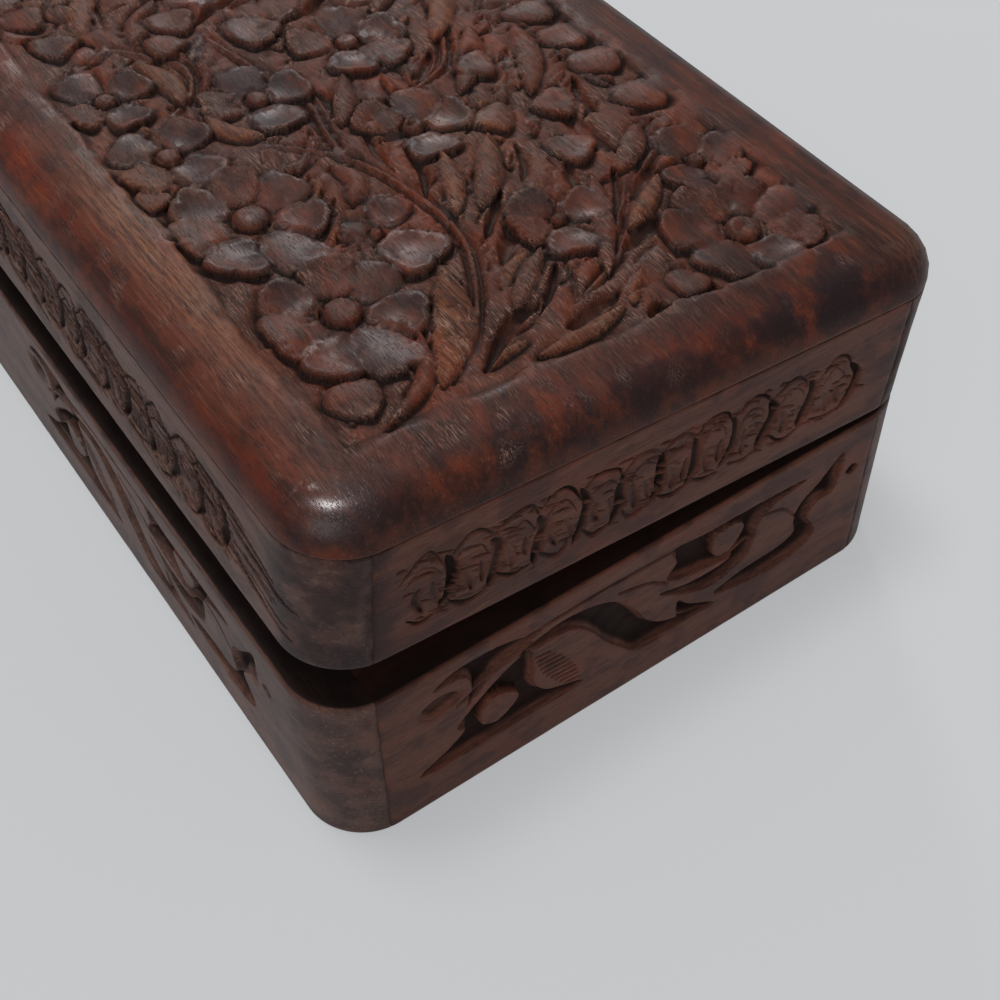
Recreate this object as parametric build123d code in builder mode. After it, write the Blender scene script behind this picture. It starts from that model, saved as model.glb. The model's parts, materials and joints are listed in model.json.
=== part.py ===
from build123d import *
import math
import os

# Hand-carved rosewood trinket box, standing with its lid slightly ajar.
# Frame: origin on the underside, in the middle of the footprint. +Z is up, X runs along the
# box and -Y is the front. All sizes are in millimetres.

# Driving sizes of the carcass
box_length = 204.0
box_depth = 102.0
wall = 8.0
corner_radius = 9.5
base_height = 31.5
lid_wall_height = 20.5
top_board = 6.0
top_edge_round = 5.4

# How the lid stands
closed_gap = 0.3
ajar_angle = 4.7

# Floor panel and the pins that hold it up in its rebate
floor_thickness = 4.0
rebate_width = 3.0
floor_clearance = 0.1
pin_radius = 0.6
pin_head_radius = 1.2
pin_head_height = 0.6
pin_length = 11.0
pin_fit = 0.02
pins_along_length = 4
pins_along_depth = 2
pin_pitch_length = 56.0
pin_pitch_depth = 44.0

# Butt hinges, their pins and their countersunk screws
hinge_inset = 42.0
hinge_length = 25.0
leaf_depth = 6.4
leaf_thickness = 1.1
leaf_clearance = 0.1
knuckle_radius = 1.9
knuckle_count = 3
knuckle_gap = 0.15
knuckle_standoff = 0.3
tab_overlap = 1.0
hinge_pin_radius = 0.85
hinge_pin_fit = 0.05
screw_pitch = 16.0
screw_radius = 0.9
screw_head_radius = 1.8
screw_length = 8.0
screw_tip = 1.6
screw_point_radius = 0.05
screw_fit = 0.03
screw_slot_width = 0.5
screw_slot_depth = 0.45

# Carved field of the lid board
field_border_length = 12.0
field_border_depth = 11.5
field_corner = 1.5
field_cut = 2.4
petal_height = 2.1
leaf_height = 1.7
stem_height = 1.3
stem_width = 1.8
centre_radius = 2.4
centre_hole_radius = 1.2
centre_hole_depth = 1.0

# Petals as shares of their flower's radius: how far out they sit, and their half length and width
petal_reach = 0.62
petal_half_length = 0.4
petal_half_width = 0.3

# Flowers on the right half of the field: x, y, radius, turn in degrees, petals
flowers = [
    (68.0, -27.0, 10.0, 8.0, 6),
    (44.5, -27.0, 10.0, 20.0, 6),
    (57.0, -12.0, 7.6, 10.0, 5),
    (28.0, -31.0, 7.4, 35.0, 5),
    (17.5, -13.5, 9.0, 0.0, 6),
    (9.0, -34.0, 5.6, 15.0, 5),
    (82.0, 29.0, 10.8, 12.0, 6),
    (64.5, 33.5, 7.4, 40.0, 5),
    (68.0, 7.0, 6.6, 30.0, 5),
    (34.0, 4.0, 7.6, 0.0, 5),
    (54.5, 19.0, 6.6, 20.0, 5),
    (13.0, 10.5, 7.8, 25.0, 6),
]

# Single buds and leaves on the right half: x, y, length, width, turn
buds = [
    (84.0, -34.0, 8.6, 6.4, 70.0),
    (87.0, 14.5, 7.0, 5.6, 20.0),
    (86.0, 6.0, 6.4, 4.6, -30.0),
    (43.0, 15.5, 7.0, 4.8, -50.0),
    (44.0, 25.5, 7.0, 5.4, -40.0),
    (43.0, -10.5, 8.0, 5.0, 30.0),
    (51.5, 36.0, 9.0, 6.4, 80.0),
    (38.5, 35.5, 9.0, 6.0, 75.0),
    (25.5, 35.5, 9.0, 6.0, 70.0),
]
leaves = [
    (75.0, -15.0, 15.0, 4.0, -24.0),
    (87.0, -25.0, 15.0, 3.0, -68.0),
    (84.5, -3.0, 13.0, 3.4, 104.0),
    (76.0, 15.0, 13.0, 3.6, 118.0),
    (59.0, 2.0, 14.0, 4.0, 148.0),
    (46.0, 4.0, 12.0, 3.6, 140.0),
    (33.0, 15.0, 15.0, 4.2, 146.0),
    (26.0, 25.0, 14.0, 4.0, 152.0),
    (37.0, -17.0, 11.0, 3.4, 62.0),
    (22.0, -23.5, 13.0, 3.6, 8.0),
    (70.0, 20.0, 12.0, 3.4, 130.0),
    (24.0, -2.5, 12.0, 3.6, 160.0),
    (4.0, -24.0, 12.0, 3.8, 20.0),
    (3.0, 22.0, 13.0, 4.0, 150.0),
]

# Stems of the right half, each an arc through three points
stem_points = [
    ((23.0, -38.0), (33.5, -13.5), (54.0, -5.0)),
    ((54.0, -5.0), (76.0, -8.5), (88.5, -22.0)),
    ((88.5, -22.0), (79.0, 0.0), (71.0, 14.0)),
    ((71.0, 14.0), (62.0, 24.0), (57.0, 38.0)),
    ((62.0, -3.0), (45.0, 8.0), (38.0, 30.0)),
    ((40.0, -7.5), (24.0, 4.0), (17.0, 30.0)),
    ((0.0, -28.0), (12.0, -24.5), (31.0, -21.0)),
]

# Scroll cut into the base walls, one repeat centred at 0, heights measured from the underside
scroll_depth = 1.6
scroll_repeat = 92.0
scroll_bands = [
    ((-21.0, 23.6), (-8.5, 22.4), (3.0, 10.0), 4.0),
    ((4.0, 18.0), (13.0, 16.2), (21.0, 10.4), 2.8),
    ((15.0, 10.4), (25.0, 9.4), (32.0, 12.6), 2.6),
    ((31.0, 13.5), (31.6, 20.0), (38.0, 24.6), 2.2),
]
scroll_lenses = [
    (-27.0, 25.6, 16.0, 5.0, -16.0),
    (-33.0, 22.8, 7.0, 4.0, 0.0),
    (18.0, 23.4, 25.0, 8.0, 0.0),
]
scroll_ground = [(-36.5, 8.4), (-29.0, 14.0), (-20.5, 21.4), (-17.6, 21.6), (-18.6, 15.0), (-12.0, 8.4)]
scroll_buds = [(-24.5, 14.2, 3.2), (15.8, 21.8, 3.2)]
scroll_seed = (39.8, 21.4, 1.0)

# Chain of overlapping leaf scales along the lid walls, heights measured from the lid's rim
scale_pitch = 6.8
scale_margin = 12.0
scale_depth = 0.9
scale_cut_width = 1.1
scale_cut = ((-5.2, 16.0), (0.6, 12.4), (0.4, 5.0))
scale_foot = (-1.6, 4.4, 4.6, 1.2)

# Planes that the pieces are drawn on
hinge_axis_y = box_depth / 2 + knuckle_standoff + knuckle_radius
hinge_axis_z = base_height + closed_gap / 2
lid_up = (0, math.sin(math.radians(ajar_angle)), math.cos(math.radians(ajar_angle)))
base_frame = Plane.XY
hinge_frame = Plane(origin=(0, hinge_axis_y, hinge_axis_z), x_dir=(1, 0, 0), z_dir=lid_up)
lid_origin = hinge_frame.from_local_coords((0, -hinge_axis_y, closed_gap / 2))
lid_frame = Plane(origin=lid_origin, x_dir=(1, 0, 0), z_dir=lid_up)
base_rim = Plane(origin=(0, 0, base_height), x_dir=(-1, 0, 0), z_dir=(0, 0, -1))
lid_axis = Axis(lid_origin, lid_up)

# Sizes worked out from the driving ones
long_wall = (box_length, wall)
short_wall = (wall, box_depth - 2 * wall)
long_wall_y = (box_depth - wall) / 2
short_wall_x = (box_length - wall) / 2
floor_length = box_length - 2 * (wall - rebate_width) - 2 * floor_clearance
floor_depth = box_depth - 2 * (wall - rebate_width) - 2 * floor_clearance
pin_line_x = box_length / 2 - wall + rebate_width / 2
pin_line_y = box_depth / 2 - wall + rebate_width / 2
field_length = box_length - 2 * field_border_length
field_depth = box_depth - 2 * field_border_depth
hinge_x = box_length / 2 - hinge_inset
hinge_places = {"left": -hinge_x, "right": hinge_x}
knuckle_length = (hinge_length - (knuckle_count - 1) * knuckle_gap) / knuckle_count
tab_reach = hinge_axis_y - box_depth / 2 + tab_overlap
screw_y = box_depth / 2 - leaf_depth / 2
head_height = screw_head_radius - screw_radius
upright = (Align.CENTER, Align.CENTER, Align.MIN)
flat = (0, 90, 0)
pin_spots = [*GridLocations(pin_pitch_length, 2 * pin_line_y, pins_along_length, 2)]
pin_spots += [*GridLocations(2 * pin_line_x, pin_pitch_depth, 2, pins_along_depth)]


def side_plane(frame, turn):
    """Plane on one outer face of the box: 0 is the front, 90 the right, 180 the rear, 270 the left."""
    angle = math.radians(turn)
    across, along = math.sin(angle), math.cos(angle)
    reach = box_depth / 2 if turn in (0, 180) else box_length / 2
    outward = frame.x_dir * across - frame.y_dir * along
    return Plane(
        origin=frame.origin + outward * reach,
        x_dir=frame.x_dir * along + frame.y_dir * across,
        z_dir=outward,
    )


def lens(length, width):
    """Pointed leaf outline about its own middle, drawn from two arcs."""
    with BuildSketch() as outline:
        with BuildLine():
            ThreePointArc((-length / 2, 0), (0, width / 2), (length / 2, 0))
            ThreePointArc((length / 2, 0), (0, -width / 2), (-length / 2, 0))
        make_face()
    return outline.sketch


def placed_lenses(rows):
    """Leaf outlines from rows of x, y, length, width and turn."""
    return [lens(long, wide).moved(Location((x, y, 0), (0, 0, turn))) for x, y, long, wide, turn in rows]


def both_halves(rows, turn_at=None):
    """Rows of the right half of the field and their half-turn copies on the left half."""
    copies = []
    for row in rows:
        turned = [-row[0], -row[1], *row[2:]]
        if turn_at is not None:
            turned[turn_at] = row[turn_at] + 180
        copies.append(tuple(turned))
    return list(rows) + copies


def wall_blank(frame, height, centre, size):
    """One wall: its stretch of the rounded outline of the box, as high as the carcass there."""
    with BuildSketch(frame) as plan:
        RectangleRounded(box_length, box_depth, corner_radius)
        with Locations(centre):
            Rectangle(*size, mode=Mode.INTERSECT)
    extrude(plan.sketch, amount=height)


def cut_floor_rebate():
    """Rebate and pin holes for the floor panel, cut up from the underside."""
    with BuildSketch(base_frame) as rebate:
        Rectangle(floor_length + 2 * floor_clearance, floor_depth + 2 * floor_clearance)
    extrude(rebate.sketch, amount=floor_thickness, mode=Mode.SUBTRACT)
    drill_pin_holes()


def drill_pin_holes():
    """Snug holes for the floor pins."""
    with Locations(*pin_spots):
        Cylinder(pin_radius + pin_fit, pin_length + pin_fit, align=upright, mode=Mode.SUBTRACT)


def stroke(points, width):
    """Round-ended gouge stroke of one width along the arc through three points."""
    line = ThreePointArc(*points)
    with BuildSketch() as outline:
        SlotArc(line, width)
    return outline.sketch


def scroll_motif():
    """Sunk parts of one scroll repeat: curling stem, leaf and ground, with the round buds left proud."""
    strokes = [stroke(band[:3], band[3]) for band in scroll_bands]
    with BuildSketch() as motif:
        add(strokes)
        for x, y, long, wide, bend in scroll_lenses:
            with Locations((x, y)):
                Ellipse(long / 2, wide / 2, rotation=bend)
        Polygon(*scroll_ground, align=None)
        with Locations(scroll_seed[:2]):
            Circle(scroll_seed[2])
        for x, y, radius in scroll_buds:
            with Locations((x, y)):
                Circle(radius, mode=Mode.SUBTRACT)
    return motif.sketch


def cut_scroll(turn, centres):
    """Scroll repeats sunk into one outer face of the base."""
    motif = scroll_motif()
    with BuildSketch(side_plane(base_frame, turn)) as scroll:
        add([motif.moved(Location((x, 0, 0))) for x in centres])
    extrude(scroll.sketch, amount=-scroll_depth, mode=Mode.SUBTRACT)


def cut_scales(turn, count):
    """Chain of leaf scales on an outer face of the lid, cut as curved knife strokes."""
    knife = stroke(scale_cut, scale_cut_width)
    first = -(count - 1) / 2 * scale_pitch
    places = [first + step * scale_pitch for step in range(count)]
    with BuildSketch(side_plane(lid_frame, turn)) as scales:
        add([knife.moved(Location((x, 0, 0))) for x in places])
        with Locations(*[(x + scale_foot[0], scale_foot[1]) for x in places]):
            SlotOverall(scale_foot[2], scale_foot[3])
    extrude(scales.sketch, amount=-scale_depth, mode=Mode.SUBTRACT)


def screw_spots(x):
    """Places of the two screws of the hinge whose middle is at x, on a rim plane."""
    return [(x - screw_pitch / 2, screw_y), (x + screw_pitch / 2, screw_y)]


def cut_hinge_seats(rim):
    """Mortises and screw holes for both hinge leaves; the rim plane's Z points into the wood."""
    seat_depth = leaf_depth + leaf_clearance
    with BuildSketch(rim) as seats:
        with Locations(*[(x, box_depth / 2 - seat_depth / 2) for x in hinge_places.values()]):
            Rectangle(hinge_length + 2 * leaf_clearance, seat_depth)
    extrude(seats.sketch, amount=leaf_thickness, mode=Mode.SUBTRACT)
    hole_spots = [spot for x in hinge_places.values() for spot in screw_spots(x)]
    with Locations(rim):
        with Locations(*hole_spots):
            Cylinder(screw_radius + screw_fit, screw_length + screw_fit, align=upright, mode=Mode.SUBTRACT)


def knuckle_centres(own):
    """X offsets of the knuckles of one leaf: 'outer' has the first and last, 'inner' the rest."""
    pitch = knuckle_length + knuckle_gap
    first = -(knuckle_count - 1) / 2 * pitch
    places = [first + step * pitch for step in range(knuckle_count)]
    return places[0::2] if own == "outer" else places[1::2]


def build_leaf(rim, x, own):
    """Hinge leaf let into a rim, with its knuckles round the pin and two countersunk holes."""
    with BuildPart(rim) as leaf:
        with Locations((x, screw_y)):
            Box(hinge_length, leaf_depth, leaf_thickness, align=upright)
        for offset in knuckle_centres(own):
            with Locations((x + offset, hinge_axis_y - tab_reach / 2)):
                Box(knuckle_length, tab_reach, leaf_thickness, align=upright)
            with Locations((x + offset, hinge_axis_y, -closed_gap / 2)):
                Cylinder(knuckle_radius, knuckle_length, rotation=flat)
        with Locations((x, hinge_axis_y, -closed_gap / 2)):
            Cylinder(hinge_pin_radius + hinge_pin_fit, hinge_length, rotation=flat, mode=Mode.SUBTRACT)
        with Locations(*screw_spots(x)):
            Cylinder(screw_radius + screw_fit, leaf_thickness, align=upright, mode=Mode.SUBTRACT)
            Cone(
                screw_head_radius + screw_fit,
                screw_radius + screw_fit,
                head_height,
                align=upright,
                mode=Mode.SUBTRACT,
            )
    return leaf


def build_screws(rim, x):
    """Pair of slotted countersunk screws through one hinge leaf."""
    with BuildPart(rim) as screws:
        with Locations(*screw_spots(x)):
            Cone(screw_head_radius, screw_radius, head_height, align=upright)
            Cylinder(screw_radius, screw_length - screw_tip, align=upright)
            with Locations((0, 0, screw_length - screw_tip)):
                Cone(screw_radius, screw_point_radius, screw_tip, align=upright)
            Box(
                2 * screw_head_radius,
                screw_slot_width,
                screw_slot_depth,
                align=upright,
                mode=Mode.SUBTRACT,
            )
    return screws


def trim_to_field():
    """Keep only what lies inside the sunk field."""
    Rectangle(field_length, field_depth, mode=Mode.INTERSECT)


def save(piece, name):
    """Label a finished piece and write it to its own file."""
    piece.part.label = name
    export_step(piece.part, f"parts/{name}.step")


os.makedirs("parts", exist_ok=True)

long_scrolls = [-scroll_repeat / 2, scroll_repeat / 2]
short_scrolls = [0]
long_scales = int((box_length - 2 * scale_margin) // scale_pitch)
short_scales = int((box_depth - 2 * scale_margin) // scale_pitch)

# Base carcass: long walls run the full length and the short walls butt between them
with BuildPart() as base_front_wall:
    wall_blank(base_frame, base_height, (0, -long_wall_y), long_wall)
    cut_scroll(0, long_scrolls)
    cut_floor_rebate()

with BuildPart() as base_rear_wall:
    wall_blank(base_frame, base_height, (0, long_wall_y), long_wall)
    cut_scroll(180, long_scrolls)
    cut_floor_rebate()
    cut_hinge_seats(base_rim)

with BuildPart() as base_right_wall:
    wall_blank(base_frame, base_height, (short_wall_x, 0), short_wall)
    cut_scroll(90, short_scrolls)
    cut_floor_rebate()

with BuildPart() as base_left_wall:
    wall_blank(base_frame, base_height, (-short_wall_x, 0), short_wall)
    cut_scroll(270, short_scrolls)
    cut_floor_rebate()

with BuildPart() as floor_panel:
    with BuildSketch(base_frame):
        Rectangle(floor_length, floor_depth)
    extrude(amount=floor_thickness)
    drill_pin_holes()
    with Locations(*pin_spots):
        Cylinder(pin_head_radius + pin_fit, pin_head_height, align=upright, mode=Mode.SUBTRACT)

with BuildPart() as floor_pins:
    with Locations(*pin_spots):
        Cylinder(pin_head_radius, pin_head_height, align=upright)
        Cylinder(pin_radius, pin_length, align=upright)

# Lid carcass, drawn in the lid's own tilted frame
with BuildPart() as lid_front_wall:
    wall_blank(lid_frame, lid_wall_height, (0, -long_wall_y), long_wall)
    cut_scales(0, long_scales)

with BuildPart() as lid_rear_wall:
    wall_blank(lid_frame, lid_wall_height, (0, long_wall_y), long_wall)
    cut_scales(180, long_scales)
    cut_hinge_seats(lid_frame)

with BuildPart() as lid_right_wall:
    wall_blank(lid_frame, lid_wall_height, (short_wall_x, 0), short_wall)
    cut_scales(90, short_scales)

with BuildPart() as lid_left_wall:
    wall_blank(lid_frame, lid_wall_height, (-short_wall_x, 0), short_wall)
    cut_scales(270, short_scales)

# Lid board: rounded over all round, with a sunk field of flowers, buds, leaves and stems
all_flowers = both_halves(flowers, turn_at=3)
all_buds = both_halves(buds)
all_leaves = both_halves(leaves)
stem_faces = [stroke(points, stem_width) for points in stem_points]
stem_faces += [stem.moved(Location((0, 0, 0), (0, 0, 180))) for stem in stem_faces]
leaf_faces = placed_lenses(all_leaves)
field_plane = lid_frame.offset(lid_wall_height + top_board)
ground_plane = field_plane.offset(-field_cut)

with BuildPart() as lid_board:
    with BuildSketch(lid_frame.offset(lid_wall_height)):
        RectangleRounded(box_length, box_depth, corner_radius)
    extrude(amount=top_board)
    top_face = lid_board.faces().sort_by(lid_axis)[-1]
    fillet(top_face.edges(), top_edge_round)
    with BuildSketch(field_plane):
        RectangleRounded(field_length, field_depth, field_corner)
    extrude(amount=-field_cut, mode=Mode.SUBTRACT)
    with BuildSketch(ground_plane):
        add(stem_faces)
        trim_to_field()
    extrude(amount=stem_height)
    with BuildSketch(ground_plane):
        add(leaf_faces)
        for x, y, long, wide, turn in all_buds:
            with Locations((x, y)):
                Ellipse(long / 2, wide / 2, rotation=turn)
        trim_to_field()
    extrude(amount=leaf_height)
    with BuildSketch(ground_plane):
        for x, y, radius, turn, petals in all_flowers:
            with Locations((x, y)):
                Circle(centre_radius)
                with PolarLocations(radius * petal_reach, petals, start_angle=turn):
                    Ellipse(radius * petal_half_length, radius * petal_half_width)
        trim_to_field()
    extrude(amount=petal_height)
    with BuildSketch(ground_plane.offset(petal_height)):
        with Locations(*[(x, y) for x, y, _, _, _ in all_flowers]):
            Circle(centre_hole_radius)
    extrude(amount=-centre_hole_depth, mode=Mode.SUBTRACT)

save(base_front_wall, "base_front_wall")
save(base_rear_wall, "base_rear_wall")
save(base_right_wall, "base_right_wall")
save(base_left_wall, "base_left_wall")
save(floor_panel, "floor_panel")
save(floor_pins, "floor_pins")
save(lid_front_wall, "lid_front_wall")
save(lid_rear_wall, "lid_rear_wall")
save(lid_right_wall, "lid_right_wall")
save(lid_left_wall, "lid_left_wall")
save(lid_board, "lid_board")

# Hinges: a base leaf with the outer knuckles, a lid leaf with the inner one, a pin and screws
for side, place in hinge_places.items():
    with BuildPart() as hinge_pin:
        with Locations((place, hinge_axis_y, hinge_axis_z)):
            Cylinder(hinge_pin_radius, hinge_length, rotation=flat)
    save(build_leaf(base_rim, -place, "outer"), f"hinge_{side}_base_leaf")
    save(build_leaf(lid_frame, place, "inner"), f"hinge_{side}_lid_leaf")
    save(hinge_pin, f"hinge_{side}_pin")
    save(build_screws(base_rim, -place), f"hinge_{side}_base_screws")
    save(build_screws(lid_frame, place), f"hinge_{side}_lid_screws")
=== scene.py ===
"""Hand-carved rosewood trinket box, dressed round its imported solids.

Sizes are worked out in millimetres in the model's own frame and turned to metres where a mesh is
made. The origin is on the underside, X runs along the box, -Y is the front and +Z is up.
"""

import json
import logging
import math
from collections.abc import Callable, Iterable, Sequence
from dataclasses import dataclass, field
from enum import Enum

import bmesh
import bpy
import numpy as np
from mathutils import Matrix, Vector
from mathutils.geometry import delaunay_2d_cdt


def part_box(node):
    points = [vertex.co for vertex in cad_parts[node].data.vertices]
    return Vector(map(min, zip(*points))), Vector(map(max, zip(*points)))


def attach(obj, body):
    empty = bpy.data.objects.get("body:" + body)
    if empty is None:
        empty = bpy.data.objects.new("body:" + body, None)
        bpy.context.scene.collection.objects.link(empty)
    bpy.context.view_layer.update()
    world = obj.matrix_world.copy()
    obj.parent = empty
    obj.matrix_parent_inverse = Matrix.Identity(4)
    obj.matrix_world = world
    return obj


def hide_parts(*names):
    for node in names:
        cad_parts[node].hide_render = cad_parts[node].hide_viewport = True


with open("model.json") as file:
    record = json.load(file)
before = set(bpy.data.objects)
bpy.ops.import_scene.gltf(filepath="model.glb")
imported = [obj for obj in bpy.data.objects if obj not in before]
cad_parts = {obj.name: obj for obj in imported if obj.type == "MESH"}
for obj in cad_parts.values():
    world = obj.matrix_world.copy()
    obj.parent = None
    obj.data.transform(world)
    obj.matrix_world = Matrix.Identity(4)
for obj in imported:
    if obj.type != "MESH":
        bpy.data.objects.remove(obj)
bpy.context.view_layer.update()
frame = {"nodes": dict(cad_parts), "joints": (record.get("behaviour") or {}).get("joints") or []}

HINGE = frame["joints"][0]
MM = 0.001
# Patches of colour and polish that a piece of wood carries as attributes of its points
TINTS = ("red", "ochre", "dark", "polish")
# Small amounts that keep a division from meeting zero: a length and a squared length
TINY = 1e-9
TINY_SQUARE = 1e-12
# Distance in millimetres within which two points of a flat net are one
JOIN_WITHIN = 1e-5
log = logging.getLogger("trinket_box")

Point = tuple[float, float]
Box = tuple[Point, Point, Point]
Field = np.ndarray


def linear(code: str) -> tuple[float, float, float, float]:
    """Turn an sRGB hex colour into linear light.

    Args:
        code: colour as #rrggbb.

    Returns:
        Linear red, green and blue, and an alpha of 1.
    """
    shares = [int(code[k : k + 2], 16) / 255 for k in (1, 3, 5)]
    light = [s / 12.92 if s <= 0.04045 else ((s + 0.055) / 1.055) ** 2.4 for s in shares]
    return (light[0], light[1], light[2], 1.0)


def add_node(tree: bpy.types.NodeTree, kind: str, inputs: dict | None = None, **settings) -> bpy.types.Node:
    """Add one node to a tree.

    Args:
        tree: shader or geometry tree that gets the node.
        kind: Blender's name for the node's type.
        inputs: sockets by name or number, each with a value or the socket that feeds it.
        **settings: properties of the node itself.

    Returns:
        The new node.
    """
    node = tree.nodes.new(kind)
    for name, value in settings.items():
        setattr(node, name, value)
    for key, value in (inputs or {}).items():
        if isinstance(value, bpy.types.NodeSocket):
            tree.links.new(value, node.inputs[key])
        else:
            node.inputs[key].default_value = value
    return node


def weighted_sum(
    tree: bpy.types.NodeTree, start: float, parts: Iterable[tuple[bpy.types.NodeSocket, float]]
) -> bpy.types.NodeSocket | float:
    """Add up sockets, each times its own amount, from a starting value.

    Args:
        tree: material's tree.
        start: value before the first part.
        parts: sockets and their amounts.

    Returns:
        Socket with the sum.
    """
    total: bpy.types.NodeSocket | float = start
    for part, amount in parts:
        added = {0: part, 1: amount, 2: total}
        total = add_node(tree, "ShaderNodeMath", added, operation="MULTIPLY_ADD").outputs[0]
    return total


def bare_material(name: str) -> bpy.types.Material:
    """Material with an empty node tree."""
    material = bpy.data.materials.new(name)
    material.use_nodes = True
    material.node_tree.nodes.clear()
    return material


def stand(name: str, data: bpy.types.ID) -> bpy.types.Object:
    """Object with this mesh, light or camera, linked into the scene."""
    made = bpy.data.objects.new(name, data)
    bpy.context.scene.collection.objects.link(made)
    return made


def settle(piece: bpy.types.Object) -> None:
    """Turn what a piece's modifiers make into its plain mesh.

    Args:
        piece: object with modifiers.
    """
    bpy.context.view_layer.update()
    evaluated = piece.evaluated_get(bpy.context.evaluated_depsgraph_get())
    result = bpy.data.meshes.new_from_object(evaluated)
    piece.modifiers.clear()
    piece.data = result


def smooth(share: Field) -> Field:
    """Ease from 0 to 1 as the share runs from 0 to 1."""
    held = np.clip(share, 0, 1)
    return held * held * (3 - 2 * held)


def spectrum_filter(values: Field, step: float, long: float, wide: float, turn: float = 0.0) -> Field:
    """Blur a grid with a bell that may be longer one way than the other.

    Args:
        values: grid to blur.
        step: grid spacing in millimetres.
        long: spread along the bell's own length, in millimetres.
        wide: spread across it, in millimetres.
        turn: direction of the length from the first axis, in degrees.

    Returns:
        The blurred grid.
    """
    a = np.fft.fftfreq(values.shape[0], step)[:, None]
    b = np.fft.rfftfreq(values.shape[1], step)[None, :]
    c, s = math.cos(math.radians(turn)), math.sin(math.radians(turn))
    along, across = a * c + b * s, b * c - a * s
    bell = np.exp(-2 * np.pi**2 * ((along * long) ** 2 + (across * wide) ** 2))
    return np.fft.irfft2(np.fft.rfft2(values) * bell, values.shape)


def fibre_noise(
    shape: tuple[int, int], step: float, long: float, wide: float, turn: float, seed: int
) -> Field:
    """Streaky random grid of unit spread, as tool chatter and wood fibre are.

    Args:
        shape: grid size.
        step: grid spacing in millimetres.
        long: length of a streak in millimetres.
        wide: width of a streak in millimetres.
        turn: direction of the streaks from the first axis, in degrees.
        seed: fixed seed.

    Returns:
        Grid with a mean near 0 and a spread of 1.
    """
    noise = np.random.default_rng(seed).standard_normal(shape)
    streaks = spectrum_filter(noise, step, long, wide, turn)
    return (streaks - streaks.mean()) / streaks.std()


@dataclass(frozen=True)
class Carcass:
    """Driving sizes of the box in millimetres."""

    length: float
    depth: float
    base_height: float
    wall: float = 8.0
    corner: float = 9.5
    lid_wall: float = 20.5
    board: float = 6.0
    edge_round: float = 5.4
    closed_gap: float = 0.3
    floor_thickness: float = 4.0
    rebate_width: float = 3.0
    hinge_place: float = 60.0
    hinge_seat: Point = (25.2, 6.5)
    seat_depth: float = 1.1

    @classmethod
    def from_frame(cls) -> "Carcass":
        """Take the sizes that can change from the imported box.

        Returns:
            Carcass as long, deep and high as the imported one.
        """
        low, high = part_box("base_front_wall")
        depth = 2 * max(abs(low.y), abs(high.y)) / MM
        return cls((high.x - low.x) / MM, depth, (high.z - low.z) / MM)


def lid_at_rest(carcass: Carcass) -> Matrix:
    """Transform from the lid's own millimetres, with its rim at 0, to metres at rest.

    Args:
        carcass: sizes of the box.

    Returns:
        Matrix that lifts the closed lid onto the base, scales it and turns it ajar on its hinge.
    """
    pivot = Vector(HINGE["pos_m"])
    ajar = math.radians(-HINGE["range_deg"][0])
    turn = Matrix.Rotation(ajar, 4, Vector(HINGE["axis"]))
    turn = Matrix.Translation(pivot) @ turn @ Matrix.Translation(-pivot)
    lift = Matrix.Translation((0, 0, (carcass.base_height + carcass.closed_gap) * MM))
    return turn @ lift @ Matrix.Scale(MM, 4)


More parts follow.
